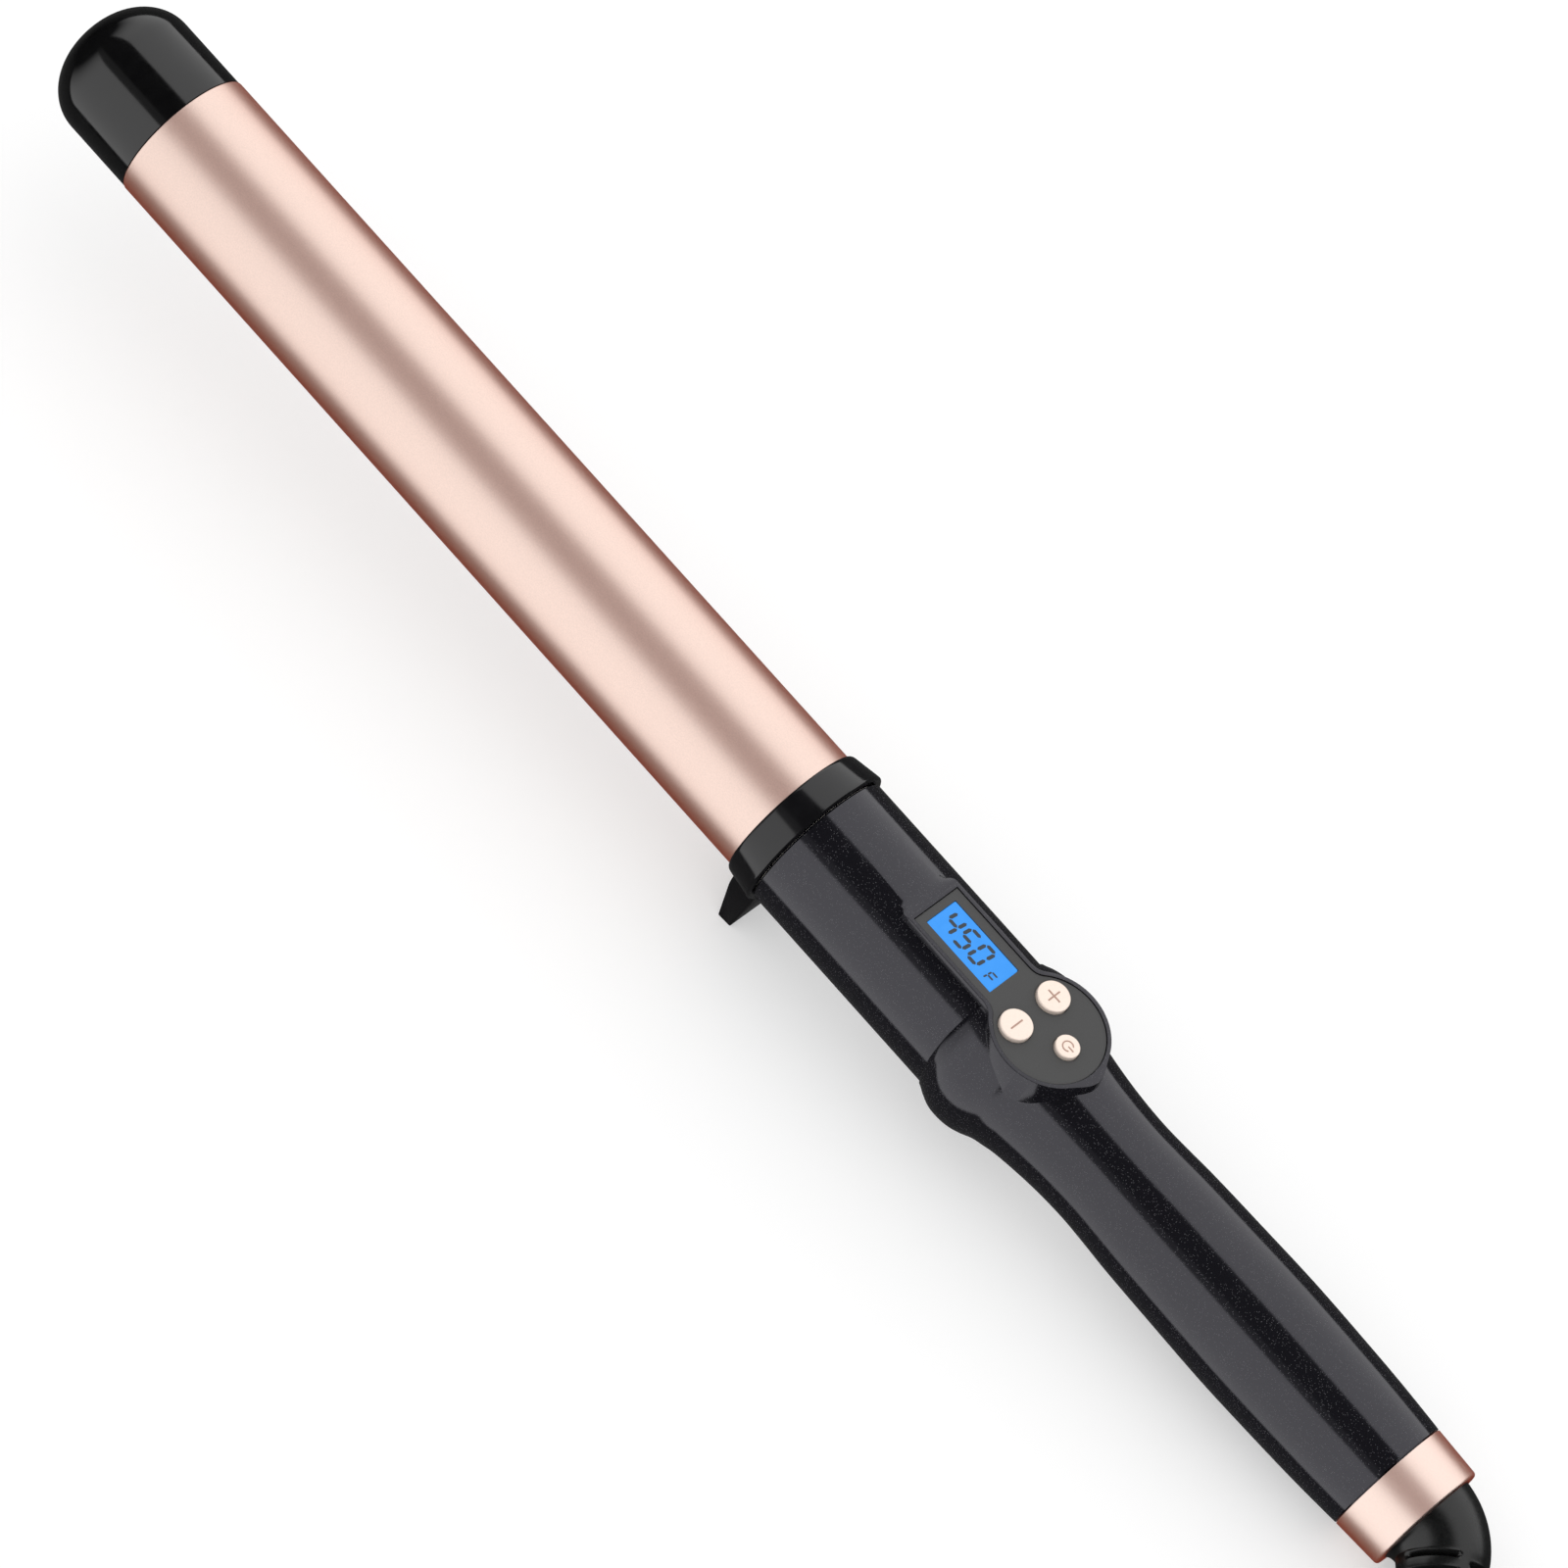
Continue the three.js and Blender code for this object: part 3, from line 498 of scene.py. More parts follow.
def camera():
    toward = Vector((math.sin(SWING), -math.sin(LEAN) * math.cos(SWING), math.cos(LEAN) * math.cos(SWING)))
    barrel = Vector((math.cos(SWING), math.sin(LEAN) * math.sin(SWING), -math.cos(LEAN) * math.sin(SWING)))
    side = Vector((0, math.cos(LEAN), math.sin(LEAN)))
    right = barrel * math.cos(ROLL) + side * math.sin(ROLL)
    up = side * math.cos(ROLL) - barrel * math.sin(ROLL)
    aim = IRON @ (Vector((AIM_X, 0, 0)) + side * AIM_SIDE)
    data = bpy.data.cameras.new("camera")
    data.sensor_width = 36
    data.lens = 180
    data.clip_start, data.clip_end = 0.05, 20
    cam = bpy.data.objects.new("camera", data)
    bpy.context.scene.collection.objects.link(cam)
    turn = TURN @ Matrix((right, up, toward)).transposed().to_4x4()
    cam.matrix_world = Matrix.Translation(aim + (TURN @ toward) * CAMERA_DISTANCE) @ turn
    bpy.context.scene.camera = cam


camera()


# ---------------------------------------------------------------- cord, boot, tie and plug
def boot_path(step=0.25):
    """The boot's centre line: out of the tail ring, round a bend, then straight, with arc lengths."""
    bend_angle = math.acos(BOOT_LEAVES.x)
    aside = Vector((0, BOOT_LEAVES.y, BOOT_LEAVES.z)).normalized()
    bend_start = Vector((RING_REAR, 0, 0))
    along = Vector((1, 0, 0))
    points = []
    first = bend_start.x - BOOT_START
    for i in range(round(first / step)):
        points.append(Vector((BOOT_START + i * step, 0, 0)))
    count = round(BOOT_BEND_R * bend_angle / step)
    for i in range(count):
        a = bend_angle * i / count
        swung = aside * BOOT_BEND_R * (1 - math.cos(a))
        points.append(bend_start + along * BOOT_BEND_R * math.sin(a) + swung)
    bend_end = bend_start + along * BOOT_BEND_R * math.sin(bend_angle)
    bend_end += aside * BOOT_BEND_R * (1 - math.cos(bend_angle))
    count = round(BOOT_STRAIGHT / step)
    for i in range(count + 1):
        points.append(bend_end + BOOT_LEAVES * BOOT_STRAIGHT * i / count)
    return points


BOOT_PATH = boot_path()
LEAD_ROUTE = [
    (233.6, -27.7, 6.7),
    (238, -31.6, 5.8),
    (243.1, -34.6, 4.9),
    (248.6, -36.4, 4.1),
    (254.5, -37, 3.5),
]


def lane(x, radius, waist):
    """How far from the hank's middle line a run lies: it draws in to the waist."""
    share = (1 - math.cos(math.pi * min(abs(x), RUN / 2) / (RUN / 2))) / 2
    return waist + (radius - waist) * share


def floor_of(x):
    """Height of the lowest layer's centre line, which rises over the tie."""
    share = (1 + math.cos(math.pi * min(abs(x), RUN / 2) / (RUN / 2))) / 2
    return CORD_R + 0.2 + 1.35 * share


def run(start, end, side, radius, waist, layer, step=1.5):
    count = round(abs(end - start) / step)
    xs = [start + (end - start) * i / count for i in range(count)]
    return [Vector((x, side * lane(x, radius, waist), floor_of(x) + LAYER * layer)) for x in xs]


def far_fold(radius, layer, steps=44):
    """Half a turn at the hank's far end, from -y to +y."""
    z = floor_of(RUN / 2) + LAYER * layer
    angles = [math.pi * i / steps for i in range(steps)]
    return [Vector((RUN / 2 + radius * math.sin(a), -radius * math.cos(a), z)) for a in angles]


def near_fold(radius, centre, height, steps=44):
    """Half a turn at the hank's near end, from +y to -y; height takes half the angle turned."""
    made = []
    for i in range(steps):
        a = math.pi * i / steps
        z = floor_of(RUN / 2) + LAYER * height(a / 2)
        made.append(Vector((-RUN / 2 - radius * math.sin(a), centre + radius * math.cos(a), z)))
    return made


def turn_of_hank(radius, waist, layer):
    """Out along -y, round the far fold and back along +y."""
    half = RUN / 2
    out = run(-half, half, -1, radius, waist, layer)
    return out + far_fold(radius, layer) + run(half, -half, 1, radius, waist, layer)


def hank_path():
    half = RUN / 2
    between = (OUTER_R + INNER_R) / 2
    shift = (OUTER_R - INNER_R) / 2
    sin, cos = math.sin, math.cos
    path = turn_of_hank(OUTER_R, OUTER_WAIST, 0)
    path += near_fold(between, shift, lambda h: 0)
    path += turn_of_hank(INNER_R, INNER_WAIST, 0)
    path += near_fold(INNER_R, 0, lambda h: sin(h))
    path += turn_of_hank(INNER_R, INNER_WAIST, 1)
    path += near_fold(between, -shift, lambda h: sin(h) + cos(h))
    path += turn_of_hank(OUTER_R, OUTER_WAIST, 1)
    path += near_fold(OUTER_R, 0, lambda h: 2 * sin(h) + cos(h))
    path += run(-half, half, -1, OUTER_R, OUTER_WAIST, 2)
    path += far_fold(OUTER_R, 2)
    path += run(half, 0, 1, OUTER_R, OUTER_WAIST, 2)
    return path


PLUG_ENTRY_X, PLUG_Y, PLUG_NOSE_Z = -10, 9, 17.2


def smooth_through(points, per):
    """A Catmull-Rom curve through points."""
    made = []
    ends = [points[0] * 2 - points[1], *points, points[-1] * 2 - points[-2]]
    for a, b, c, d in zip(ends, ends[1:], ends[2:], ends[3:]):
        for i in range(per):
            t = i / per
            p = b * 2 + (c - a) * t + (a * 2 - b * 5 + c * 4 - d) * t * t
            p += (b * 3 - a - c * 3 + d) * t**3
            made.append(p / 2)
    return made + [points[-1]]


def cord_path():
    """The whole cord in metres: out of the boot, along the table, round the hank, into the plug."""
    inside = BOOT_PATH[-1] - BOOT_LEAVES * 8
    lead = [IRON @ inside, IRON @ (BOOT_PATH[-1] - BOOT_LEAVES * 2)]
    lead += [Vector(p) * MM for p in LEAD_ROUTE]
    joined = [HANK @ Vector((-RUN / 2 - 14, -OUTER_R, floor_of(RUN / 2))),
              HANK @ Vector((-RUN / 2 - 7, -OUTER_R, floor_of(RUN / 2)))]
    coil = [HANK @ p for p in hank_path()]
    last = hank_path()[-1]
    entry = [HANK @ Vector((x, PLUG_Y, last.z + (PLUG_NOSE_Z - last.z) * share))
             for x, share in ((-2, 0.1), (-5, 0.5), (-8, 0.9), (-11, 1), (-14, 1.0))]
    return smooth_through(lead + joined + coil[:1], 6)[:-1] + coil + entry


CORD_PATH = cord_path()


def make_cord():
    curve = bpy.data.curves.new("mains_cord", "CURVE")
    curve.dimensions = "3D"
    curve.bevel_depth = CORD_R * MM
    curve.bevel_resolution = 6
    curve.use_fill_caps = True
    line = curve.splines.new("POLY")
    line.points.add(len(CORD_PATH) - 1)
    for point, place in zip(line.points, CORD_PATH):
        point.co = (*place, 1)
    line.use_smooth = True
    obj = bpy.data.objects.new("mains_cord", curve)
    bpy.context.scene.collection.objects.link(obj)
    return give(obj, CORD_BLACK, "swivel", "cord_black", "cord_lead", "cord_hank")


def groove(distance, half_width, edge=0.35):
    """1 inside a groove, falling to 0 at its soft edges."""
    return max(0.0, min(1.0, (half_width + edge - abs(distance)) / (2 * edge)))


def make_boot():
    """A tapered strain relief: four rows of slots, each row half a pitch from its neighbours."""
    sides = 144
    step = 0.25
    seated = RING_REAR - BOOT_START
    total = (len(BOOT_PATH) - 1) * step
    first_slot, pitch, slot_half = 17.0, 3.2, 0.34
    row_half = math.radians(38)
    facing_row = math.radians(54)  # the middle of the row that faces the controls' side

    def section(i):
        s = i * step
        share = min(1.0, max(0.0, (s - seated) / (total - seated)))
        radius = BOOT_BASE_R + (BOOT_END_R - BOOT_BASE_R) * share
        radius -= 0.5 * max(0.0, 1 - (total - s) / 0.6) ** 2
        ring = []
        for j in range(sides):
            a = 2 * math.pi * j / sides
            row = round((a - facing_row) / (math.pi / 2))
            off_row = abs(a - facing_row - row * math.pi / 2)
            first = first_slot + (pitch / 2 if row % 2 else 0)
            k = round((s - first) / pitch)
            depth = lip = 0.0
            if k >= 0 and first + k * pitch < total - 3:
                along = s - first - k * pitch
                inside = max(0.0, min(1.0, (row_half - off_row) / math.radians(5)))
                depth = groove(along, slot_half) * inside
                lip = groove(along, slot_half + 0.5) * inside - depth
            r = radius - 1.3 * depth + 0.1 * max(0.0, lip)
            ring.append((r * math.cos(a), r * math.sin(a)))
        return ring

    obj = put("strain_relief", swept(BOOT_PATH, section), IRON, 40)
    return give(obj, BOOT_BLACK, "swivel", "cord_black", "cord_boot")


def make_tie():
    """A hook-and-loop strap once round the hank's waist, its end lapped over the top."""
    half = 5
    thick = 1.1
    inner, low, high = 12.35, 1.3, 19.75

    def loop(grow):
        w, radius = inner + grow, 3.4 + grow
        corners = [(-w, low - grow), (w, low - grow), (w, high + grow), (-w, high + grow)]
        return rounded([(u, v, radius) for u, v in corners], 8)

    edge = 0.25
    rings = []
    for x, grow in (
        (-half, edge), (-half, thick - edge), (-half + edge, thick), (half - edge, thick),
        (half, thick - edge), (half, edge), (half - edge, 0), (-half + edge, 0),
    ):
        rings.append([(x, y, z) for y, z in loop(grow)])
    strap = put("cord_strap", skin(rings, loop=True), HANK, 40)
    give(strap, STRAP, "swivel", "strap_black", "hank_tie")

    top = high + thick + 0.05
    lap = [(-6.5, top), (-2, top), (4, top + 0.05), (8, top + 0.15), (10.4, top + 0.9)]
    width = [4.6, 4.7, 4.7, 4.6, 4.0]
    rings = []
    for (y, z), w in zip(lap, width):
        plan = rounded([(-w, z, 0.3), (w, z, 0.3), (w, z + 0.9, 0.3), (-w, z + 0.9, 0.3)], 3)
        rings.append([(x, y, h) for x, h in plan])
    flap = put("cord_strap_end", skin(rings), HANK, 40)
    give(flap, STRAP, "swivel", "strap_black")
    return [strap, flap]


def squircle(half_width, half_height, power=4.0, sides=72):
    made = []
    for i in range(sides):
        a = 2 * math.pi * i / sides
        c, s = math.cos(a), math.sin(a)
        scale = (abs(c) ** power + abs(s) ** power) ** (-1 / power)
        made.append((half_width * c * scale, half_height * s * scale))
    return made


PLUG_BACK, PLUG_FACE, PLUG_Z = -25.7, -51.7, 20.2
BLADE_TIP = -68.5


def make_plug():
    """A moulded two-blade plug: a body with grip ribs and a slotted relief that meets the cord."""
    sections = [
        (PLUG_BACK, 5.6, 5.3, 2.2), (-26.3, 6.6, 5.7, 2.4), (-27.6, 8.6, 6.0, 3), (-29.4, 10.4, 6.2, 3.6),
        (-31.2, 11.3, 6.35, 4), (-33.2, 11.6, 6.4, 4.4), (-49.2, 12, 6.5, 5), (-51.0, 12, 6.5, 5),
        (-51.5, 11.8, 6.3, 5), (PLUG_FACE, 11.4, 5.9, 5),
    ]
    xs = [sections[0][0]]
    while xs[-1] > PLUG_FACE + 0.26:
        xs.append(xs[-1] - 0.25)
    xs.append(PLUG_FACE)
    rings = []
    for x in xs:
        upper = next(i for i in range(1, len(sections)) if sections[i][0] <= x + 1e-6)
        (x0, w0, h0, p0), (x1, w1, h1, p1) = sections[upper - 1], sections[upper]
        t = (x - x0) / (x1 - x0)
        w, h, p = w0 + (w1 - w0) * t, h0 + (h1 - h0) * t, p0 + (p1 - p0) * t
        rib = 0.0
        for k in range(5):
            rib = max(rib, groove(x + 35.2 + k * 2.6, 0.6, 0.3))
        ring = []
        for y, z in squircle(w, h, p):
            side = max(0.0, min(1.0, (abs(y) / w - 0.82) / 0.08)) * (1 - max(0.0, (abs(z) / h - 0.75) / 0.25))
            ring.append((x, PLUG_Y + y * (1 - 0.07 * rib * side), PLUG_Z + z))
        rings.append(ring)
    body = put("plug_body", skin(rings), HANK, 35)
    give(body, CORD_BLACK, "swivel", "cord_black", "mains_plug")

    start = Vector((PLUG_ENTRY_X - GAP, PLUG_Y, PLUG_NOSE_Z))
    end = Vector((PLUG_BACK - 1, PLUG_Y, PLUG_Z))
    count = 100
    path = []
    for i in range(count + 1):
        t = i / count
        ease = t * t * (3 - 2 * t)
        path.append(Vector((start.x + (end.x - start.x) * t, PLUG_Y, start.z + (end.z - start.z) * ease)))
    length = abs(end.x - start.x)

    def section(i):
        s = length * i / count
        radius = 3.5 + 1.9 * i / count
        k = round((s - 3) / 2.2)
        ring = []
        for j in range(72):
            a = 2 * math.pi * j / 72
            facing = abs(math.cos(a) if k % 2 else math.sin(a))
            depth = groove(s - 3 - k * 2.2, 0.45, 0.25) * max(0.0, min(1.0, (facing - 0.4) / 0.1))
            if not 0 <= k <= 5:
                depth = 0.0
            r = radius * (1 - 0.18 * depth) if k else radius * (1 - 0.1 * depth)
            ring.append((r * math.cos(a), r * math.sin(a)))
        return ring

    relief = put("plug_relief", swept(path, section), HANK, 40)
    give(relief, CORD_BLACK, "swivel", "cord_black")

    pieces = [body, relief]
    for name, side in (("plug_blade_live", -1), ("plug_blade_neutral", 1)):
        y = PLUG_Y + side * 6.35
        plan = rounded([
            (PLUG_FACE + 0.5, PLUG_Z - 3.15, 0), (PLUG_FACE + 0.5, PLUG_Z + 3.15, 0),
            (BLADE_TIP, PLUG_Z + 3.15, 2.2), (BLADE_TIP, PLUG_Z - 3.15, 2.2),
        ], 6)
        rings = []
        for dy, inset in ((-0.75, 0.3), (-0.6, 0), (0.6, 0), (0.75, 0.3)):
            middle = (PLUG_FACE + BLADE_TIP) / 2
            ring = []
            for x, z in plan:
                sx = (abs(x - middle) - inset) / abs(x - middle) if abs(x - middle) > 1 else 1
                sz = (abs(z - PLUG_Z) - inset) / abs(z - PLUG_Z) if abs(z - PLUG_Z) > 1 else 1
                ring.append((middle + (x - middle) * sx, y + dy, PLUG_Z + (z - PLUG_Z) * sz))
            rings.append(ring)
        blade = solid(name + "_metal", skin(rings))
        hole = bmesh.new()
        bmesh.ops.create_cone(
            hole, cap_ends=True, segments=32, radius1=1.5, radius2=1.5, depth=4,
            matrix=Matrix.Translation((BLADE_TIP + 4.5, y, PLUG_Z)) @ Matrix.Rotation(math.pi / 2, 4, "X"),
        )
        combine(blade, [hole], "DIFFERENCE")
        settle(blade, HANK)
        pieces.append(give(blade, NICKEL, "swivel", "nickel", name))
    return pieces


cord = make_cord()
boot = make_boot()
tie = make_tie()
plug = make_plug()


# ---------------------------------------------------------------- barrel, tip and collar
def make_barrel():
    inner = BARREL_R - BARREL_WALL
    outline = rounded([
        (BARREL_FRONT, inner, 0), (BARREL_REAR, inner, 0),
        (BARREL_REAR, BARREL_R, 0), (BARREL_FRONT, BARREL_R, 0.25),
    ])
    obj = put("barrel", turned(outline, 256), IRON)
    return give(obj, ROSE_BARREL, "iron", "rose_gold_barrel", "barrel_tube")


def make_tip():
    rear = BARREL_FRONT - GAP / 3
    spigot = BARREL_R - BARREL_WALL - GAP
    centre = TIP_FRONT + TIP_DOME
    steps = 28
    dome = []
    for i in range(steps + 1):
        a = math.pi / 2 * i / steps
        dome.append((centre - TIP_DOME * math.cos(a), TIP_R * math.sin(a) ** 0.92))
    rim = [(rear - 0.35, TIP_R), (rear - 0.12, TIP_R - 0.06), (rear, TIP_R - 0.25)]
    rim += [(rear, spigot), (rear + 8, spigot)]
    inside = [(rear + 8, spigot - 2), (centre, spigot - 2), (TIP_FRONT + 5, 8), (TIP_FRONT + 2, 0)]
    obj = put("tip_cap", turned([*dome, *rim, *inside], 256), IRON)
    return give(obj, GLOSS_BLACK, "iron", "gloss_black", "cool_tip")


def make_collar():
    bore = BARREL_R + 0.15
    flare = turned(rounded([
        (COLLAR_FRONT, bore, 0), (COLLAR_REAR, bore, 0), (COLLAR_REAR, 17.6, 0.2),
        (COLLAR_REAR - 0.4, 18.1, 0.3), (COLLAR_REAR - 1.1, 18.0, 0.4),
        (COLLAR_FRONT + 0.5, 16.95, 0.3), (COLLAR_FRONT, 16.6, 0.2),
    ]), 256)
    obj = solid("collar", flare)
    rise = 1.7 * math.tan(math.asin(-ALONG.z))
    side = [
        (FOOT_X - 1.7, -FOOT_DEPTH - rise, 0.3), (FOOT_X + 1.7, -FOOT_DEPTH + rise, 0.3),
        (COLLAR_REAR - 0.2, -17, 0), (COLLAR_REAR - 0.2, -8, 0), (1.4, -8, 0), (1.4, -17, 1.5),
    ]
    outline = rounded(side, 4)
    rings = []
    for y, inset in ((-FOOT_HALF_WIDTH, 0.35), (-FOOT_HALF_WIDTH + 0.12, 0.12), (-FOOT_HALF_WIDTH + 0.4, 0),
                     (FOOT_HALF_WIDTH - 0.4, 0), (FOOT_HALF_WIDTH - 0.12, 0.12), (FOOT_HALF_WIDTH, 0.35)):
        middle = Vector((FOOT_X - 0.4, -18))
        ring = []
        for p in outline:
            away = p - middle
            shrunk = middle + away * (1 - inset / max(away.length, 1))
            ring.append((shrunk.x, y, shrunk.y))
        rings.append(ring)
    combine(obj, [skin(rings)], "UNION")
    combine(obj, [turned([(-5, 0), (15, 0), (15, bore), (-5, bore)], 256)], "DIFFERENCE")
    settle(obj)
    return give(obj, COLLAR, "iron", "gloss_black", "barrel_collar")


# ---------------------------------------------------------------- handle
GRIP_FRONT_R = 16.8
STEP = [(57.6, 16.8), (57.72, 16.98), (57.98, 17.24), (58.8, 17.56), (59.9, 18.08)]
GRIP = [
    (61.1, 18.5), (62.2, 18.78), (63.5, 18.98), (65, 19.08), (67.2, 19.03), (69.5, 18.65), (71.9, 17.8),
    (74.3, 16.65), (76.7, 16.03), (79.1, 15.43), (83.5, 14.8), (88.6, 14.25),
    (93.5, 13.93), (99, 13.82), (105, 14.05), (112, 14.42), (126, 14.75),
    (142, 15), (158.7, 14.7), (168, 14.4), (177.3, 13.9), (HANDLE_REAR, RING_R),
]
HOLLOW = [(112, 12.4), (99, 11.8), (83.5, 12.9), (74.3, 13.4), (66, 14.4), (58, 14.6), (HANDLE_FRONT, 14.8)]
SPIGOT_R, SPIGOT_REAR = 11.6, 184  # the grip's end, inside the tail ring
GUARD_FRONT, GUARD_REAR, NECK_R = 57.4, 83.5, 14.8
GUARD_LEAN = 1.25  # towards the tail, low down
LEAN_STARTS, LEAN_FULL = math.radians(50), math.radians(120)
GUARD_STARTS, GUARD_FULL = math.radians(14), math.radians(30)  # from the top, round to either side


def grip_outline():
    front = [(HANDLE_FRONT, GRIP_FRONT_R - 0.3), (HANDLE_FRONT + 0.3, GRIP_FRONT_R)]
    front += [(x, GRIP_FRONT_R) for x in (20, 32, 44)]
    return front + STEP + hermite(GRIP, 0.8)


def eased(value, low, high):
    """0 at low, 1 at high, and smooth between."""
    share = min(1.0, max(0.0, (value - low) / (high - low)))
    return share * share * (3 - 2 * share)


def grip_blank():
    """The whole grip: its finger guard stands out all round but for the top."""
    inside = [(HANDLE_REAR - 3, 9.6), (HANDLE_REAR - 6, 11.7), *HOLLOW]
    tail = [(HANDLE_REAR, SPIGOT_R), (SPIGOT_REAR, SPIGOT_R), (SPIGOT_REAR, SPIGOT_R - 2)]
    bm = turned([*grip_outline(), *tail, *inside], SIDES)
    for vert in bm.verts:
        x, y, z = vert.co
        lower = math.hypot(y, z)
        if not (lower > 14.7 and GUARD_FRONT < x < GUARD_REAR):
            continue
        upper = GRIP_FRONT_R + (NECK_R - GRIP_FRONT_R) * eased(x, GUARD_FRONT, GUARD_REAR)
        around = abs(math.atan2(y, z))
        share = eased(around, GUARD_STARTS, GUARD_FULL)
        scale = (upper + (lower - upper) * share) / lower
        lean = GUARD_LEAN * eased(around, LEAN_STARTS, LEAN_FULL) * (1 - eased(x, 59.5, 67))
        vert.co = (x + lean, y * scale, z * scale)
    return bm


def keyhole(grow, flare=0.0, pointed=False, arc=40):
    """The control boss's keyhole outline, grown or shrunk from the overlay's own edge."""
    strip = STRIP_HALF_WIDTH + grow
    r = DISC_R + grow + flare
    join = math.asin(strip / r)
    corner = (DISC_X - r * math.cos(join), -strip)
    begin = math.pi + join + FILLET / r
    lower = [(STRIP_FRONT - grow, -strip)]
    landing = (DISC_X + r * math.cos(begin), r * math.sin(begin))
    lower += [(p.x, p.y) for p in bend((corner[0] - FILLET, -strip), corner, landing, 6)]
    nose = NOSE_X + (grow - PAD_RIM) * 1.2 + flare
    touch = math.acos(r / (nose - DISC_X)) if pointed else 0
    for i in range(1, arc + 1):
        a = begin + (2 * math.pi - touch - begin) * i / arc
        lower.append((DISC_X + r * math.cos(a), r * math.sin(a)))
    upper = [(x, -y) for x, y in reversed(lower)]
    if not pointed:
        return lower + upper[1:]
    at = Vector(lower[-1])
    tip = Vector((nose, 0))
    before = at.lerp(tip, 0.55)
    after = Vector((before.x, -before.y))
    return lower + [(p.x, p.y) for p in bend(before, tip, after, 8)] + upper


def boss():
    """The raised control boss: its round end's wall spreads a little towards the grip."""
    levels = [(0, BOSS_FLARE, 7), (0, 0, PAD_TOP - 0.15), (-0.04, 0, PAD_TOP - 0.05), (-0.13, 0, PAD_TOP)]
    return skin([
        [(x, y, z) for x, y in keyhole(PAD_RIM + grow, flare, True)] for grow, flare, z in levels
    ])


def boss_ramp():
    """A soft rise from the round grip up to the boss's flat top."""
    end = STRIP_FRONT - PAD_RIM
    steps, columns = 18, 12
    rings = []
    for i in range(steps + 1):
        x = end - RAMP + (RAMP + 0.4) * i / steps
        rise = eased(x, end - RAMP, end)
        half = STRIP_HALF_WIDTH + PAD_RIM - 1.3 * (1 - eased(x, end - 2.6, end - 0.2)) ** 2
        ring = [(x, half, 12), (x, -half, 12)]
        for j in range(columns + 1):
            y = half * (2 * j / columns - 1)
            round_z = math.sqrt((GRIP_FRONT_R - 0.08) ** 2 - y * y)
            edge = 0.12 if j in (0, columns) else 0
            ring.append((x, y, round_z + (PAD_TOP - 0.01 - round_z) * rise - edge))
        rings.append(ring)
    return skin(rings)


def make_handle():
    cavity = [(HANDLE_FRONT, 0), (112, 0), *HOLLOW]
    raised = solid("raised", boss())
    combine(raised, [boss_ramp()], "UNION")
    combine(raised, [turned(cavity, 96)], "DIFFERENCE")
    shell = solid("handle", grip_blank())
    part = bmesh.new()
    part.from_mesh(raised.data)
    combine(shell, [part], "UNION")
    bpy.data.objects.remove(raised)
    floor = OVERLAY_TOP - OVERLAY_THICK - 0.1
    cuts = [
        stacked(keyhole, [(-0.6, 4), (-0.6, PAD_TOP + 1)]),
        stacked(keyhole, [(0.08, floor), (0.08, PAD_TOP - 0.06), (0.16, PAD_TOP + 0.06)]),
        block(-50, 250, -40, 40, -40, SPLIT_Z + GAP / 2),
    ]
    combine(shell, cuts, "DIFFERENCE")
    settle(shell)
    return give(shell, SPARKLE, "iron", "sparkle_black", "handle_shell")


def grip_radius(x):
    outline = grip_outline()
    for (x0, r0), (x1, r1) in zip(outline, outline[1:]):
        if x0 <= x <= x1:
            return r0 + (r1 - r0) * (x - x0) / (x1 - x0)


def make_cover():
    cover = solid("handle_cover", grip_blank())
    columns = []
    for x in SCREWS.values():
        columns.append(post(x, 0, -grip_radius(x) + 1.2, SPLIT_Z - 0.4, 4, 48))
    combine(cover, columns, "UNION")
    pits = []
    for x in SCREWS.values():
        pits.append(post(x, 0, -25, 3.2 - grip_radius(x), 2.9, 48))
        pits.append(post(x, 0, -25, -5, 1.5, 32))
    combine(cover, [*pits, block(-50, 250, -40, 40, SPLIT_Z - GAP / 2, 40)], "DIFFERENCE")
    settle(cover)
    return give(cover, SPARKLE, "iron", "sparkle_black", "handle_bottom_cover")


def make_screw(place, x):
    seat = 3.2 - grip_radius(x)
    low, high = seat - 2.1, seat - GAP
    head = [(0, -5, 0), (0, low, 0), (2.5, low, 0.6), (2.5, high, 0.1)]
    outline = rounded([*head, (1.15, high, 0), (1.15, -5, 0)], 6)
    screw = solid("cover_screw_head_" + place, upright(outline, x, 0, 48))
    slots = [block(x - 0.35, x + 0.35, -1.6, 1.6, low - 1, low + 0.8),
             block(x - 1.6, x + 1.6, -0.35, 0.35, low - 1, low + 0.8)]
    combine(screw, slots, "DIFFERENCE")
    settle(screw)
    return give(screw, STEEL, "iron", "steel", "cover_screw_" + place)


# ---------------------------------------------------------------- controls
def make_overlay():
    bottom = OVERLAY_TOP - OVERLAY_THICK
    levels = [(0, bottom), (0, OVERLAY_TOP - 0.1), (-0.1, OVERLAY_TOP)]
    sheet = solid("control_panel", stacked(keyhole, levels))
    half_l, half_w = WINDOW_LENGTH / 2, WINDOW_WIDTH / 2
    holes = [block(WINDOW_X - half_l, WINDOW_X + half_l, WINDOW_Y - half_w, WINDOW_Y + half_w,
                   bottom - 1, OVERLAY_TOP + 1)]
    for x, y, r in BUTTONS.values():
        holes.append(post(x, y, bottom - 1, OVERLAY_TOP + 1, r + 0.15, 96))
    combine(sheet, holes, "DIFFERENCE")
    settle(sheet)
    return give(sheet, OVERLAY, "iron", "overlay_grey", "control_overlay")


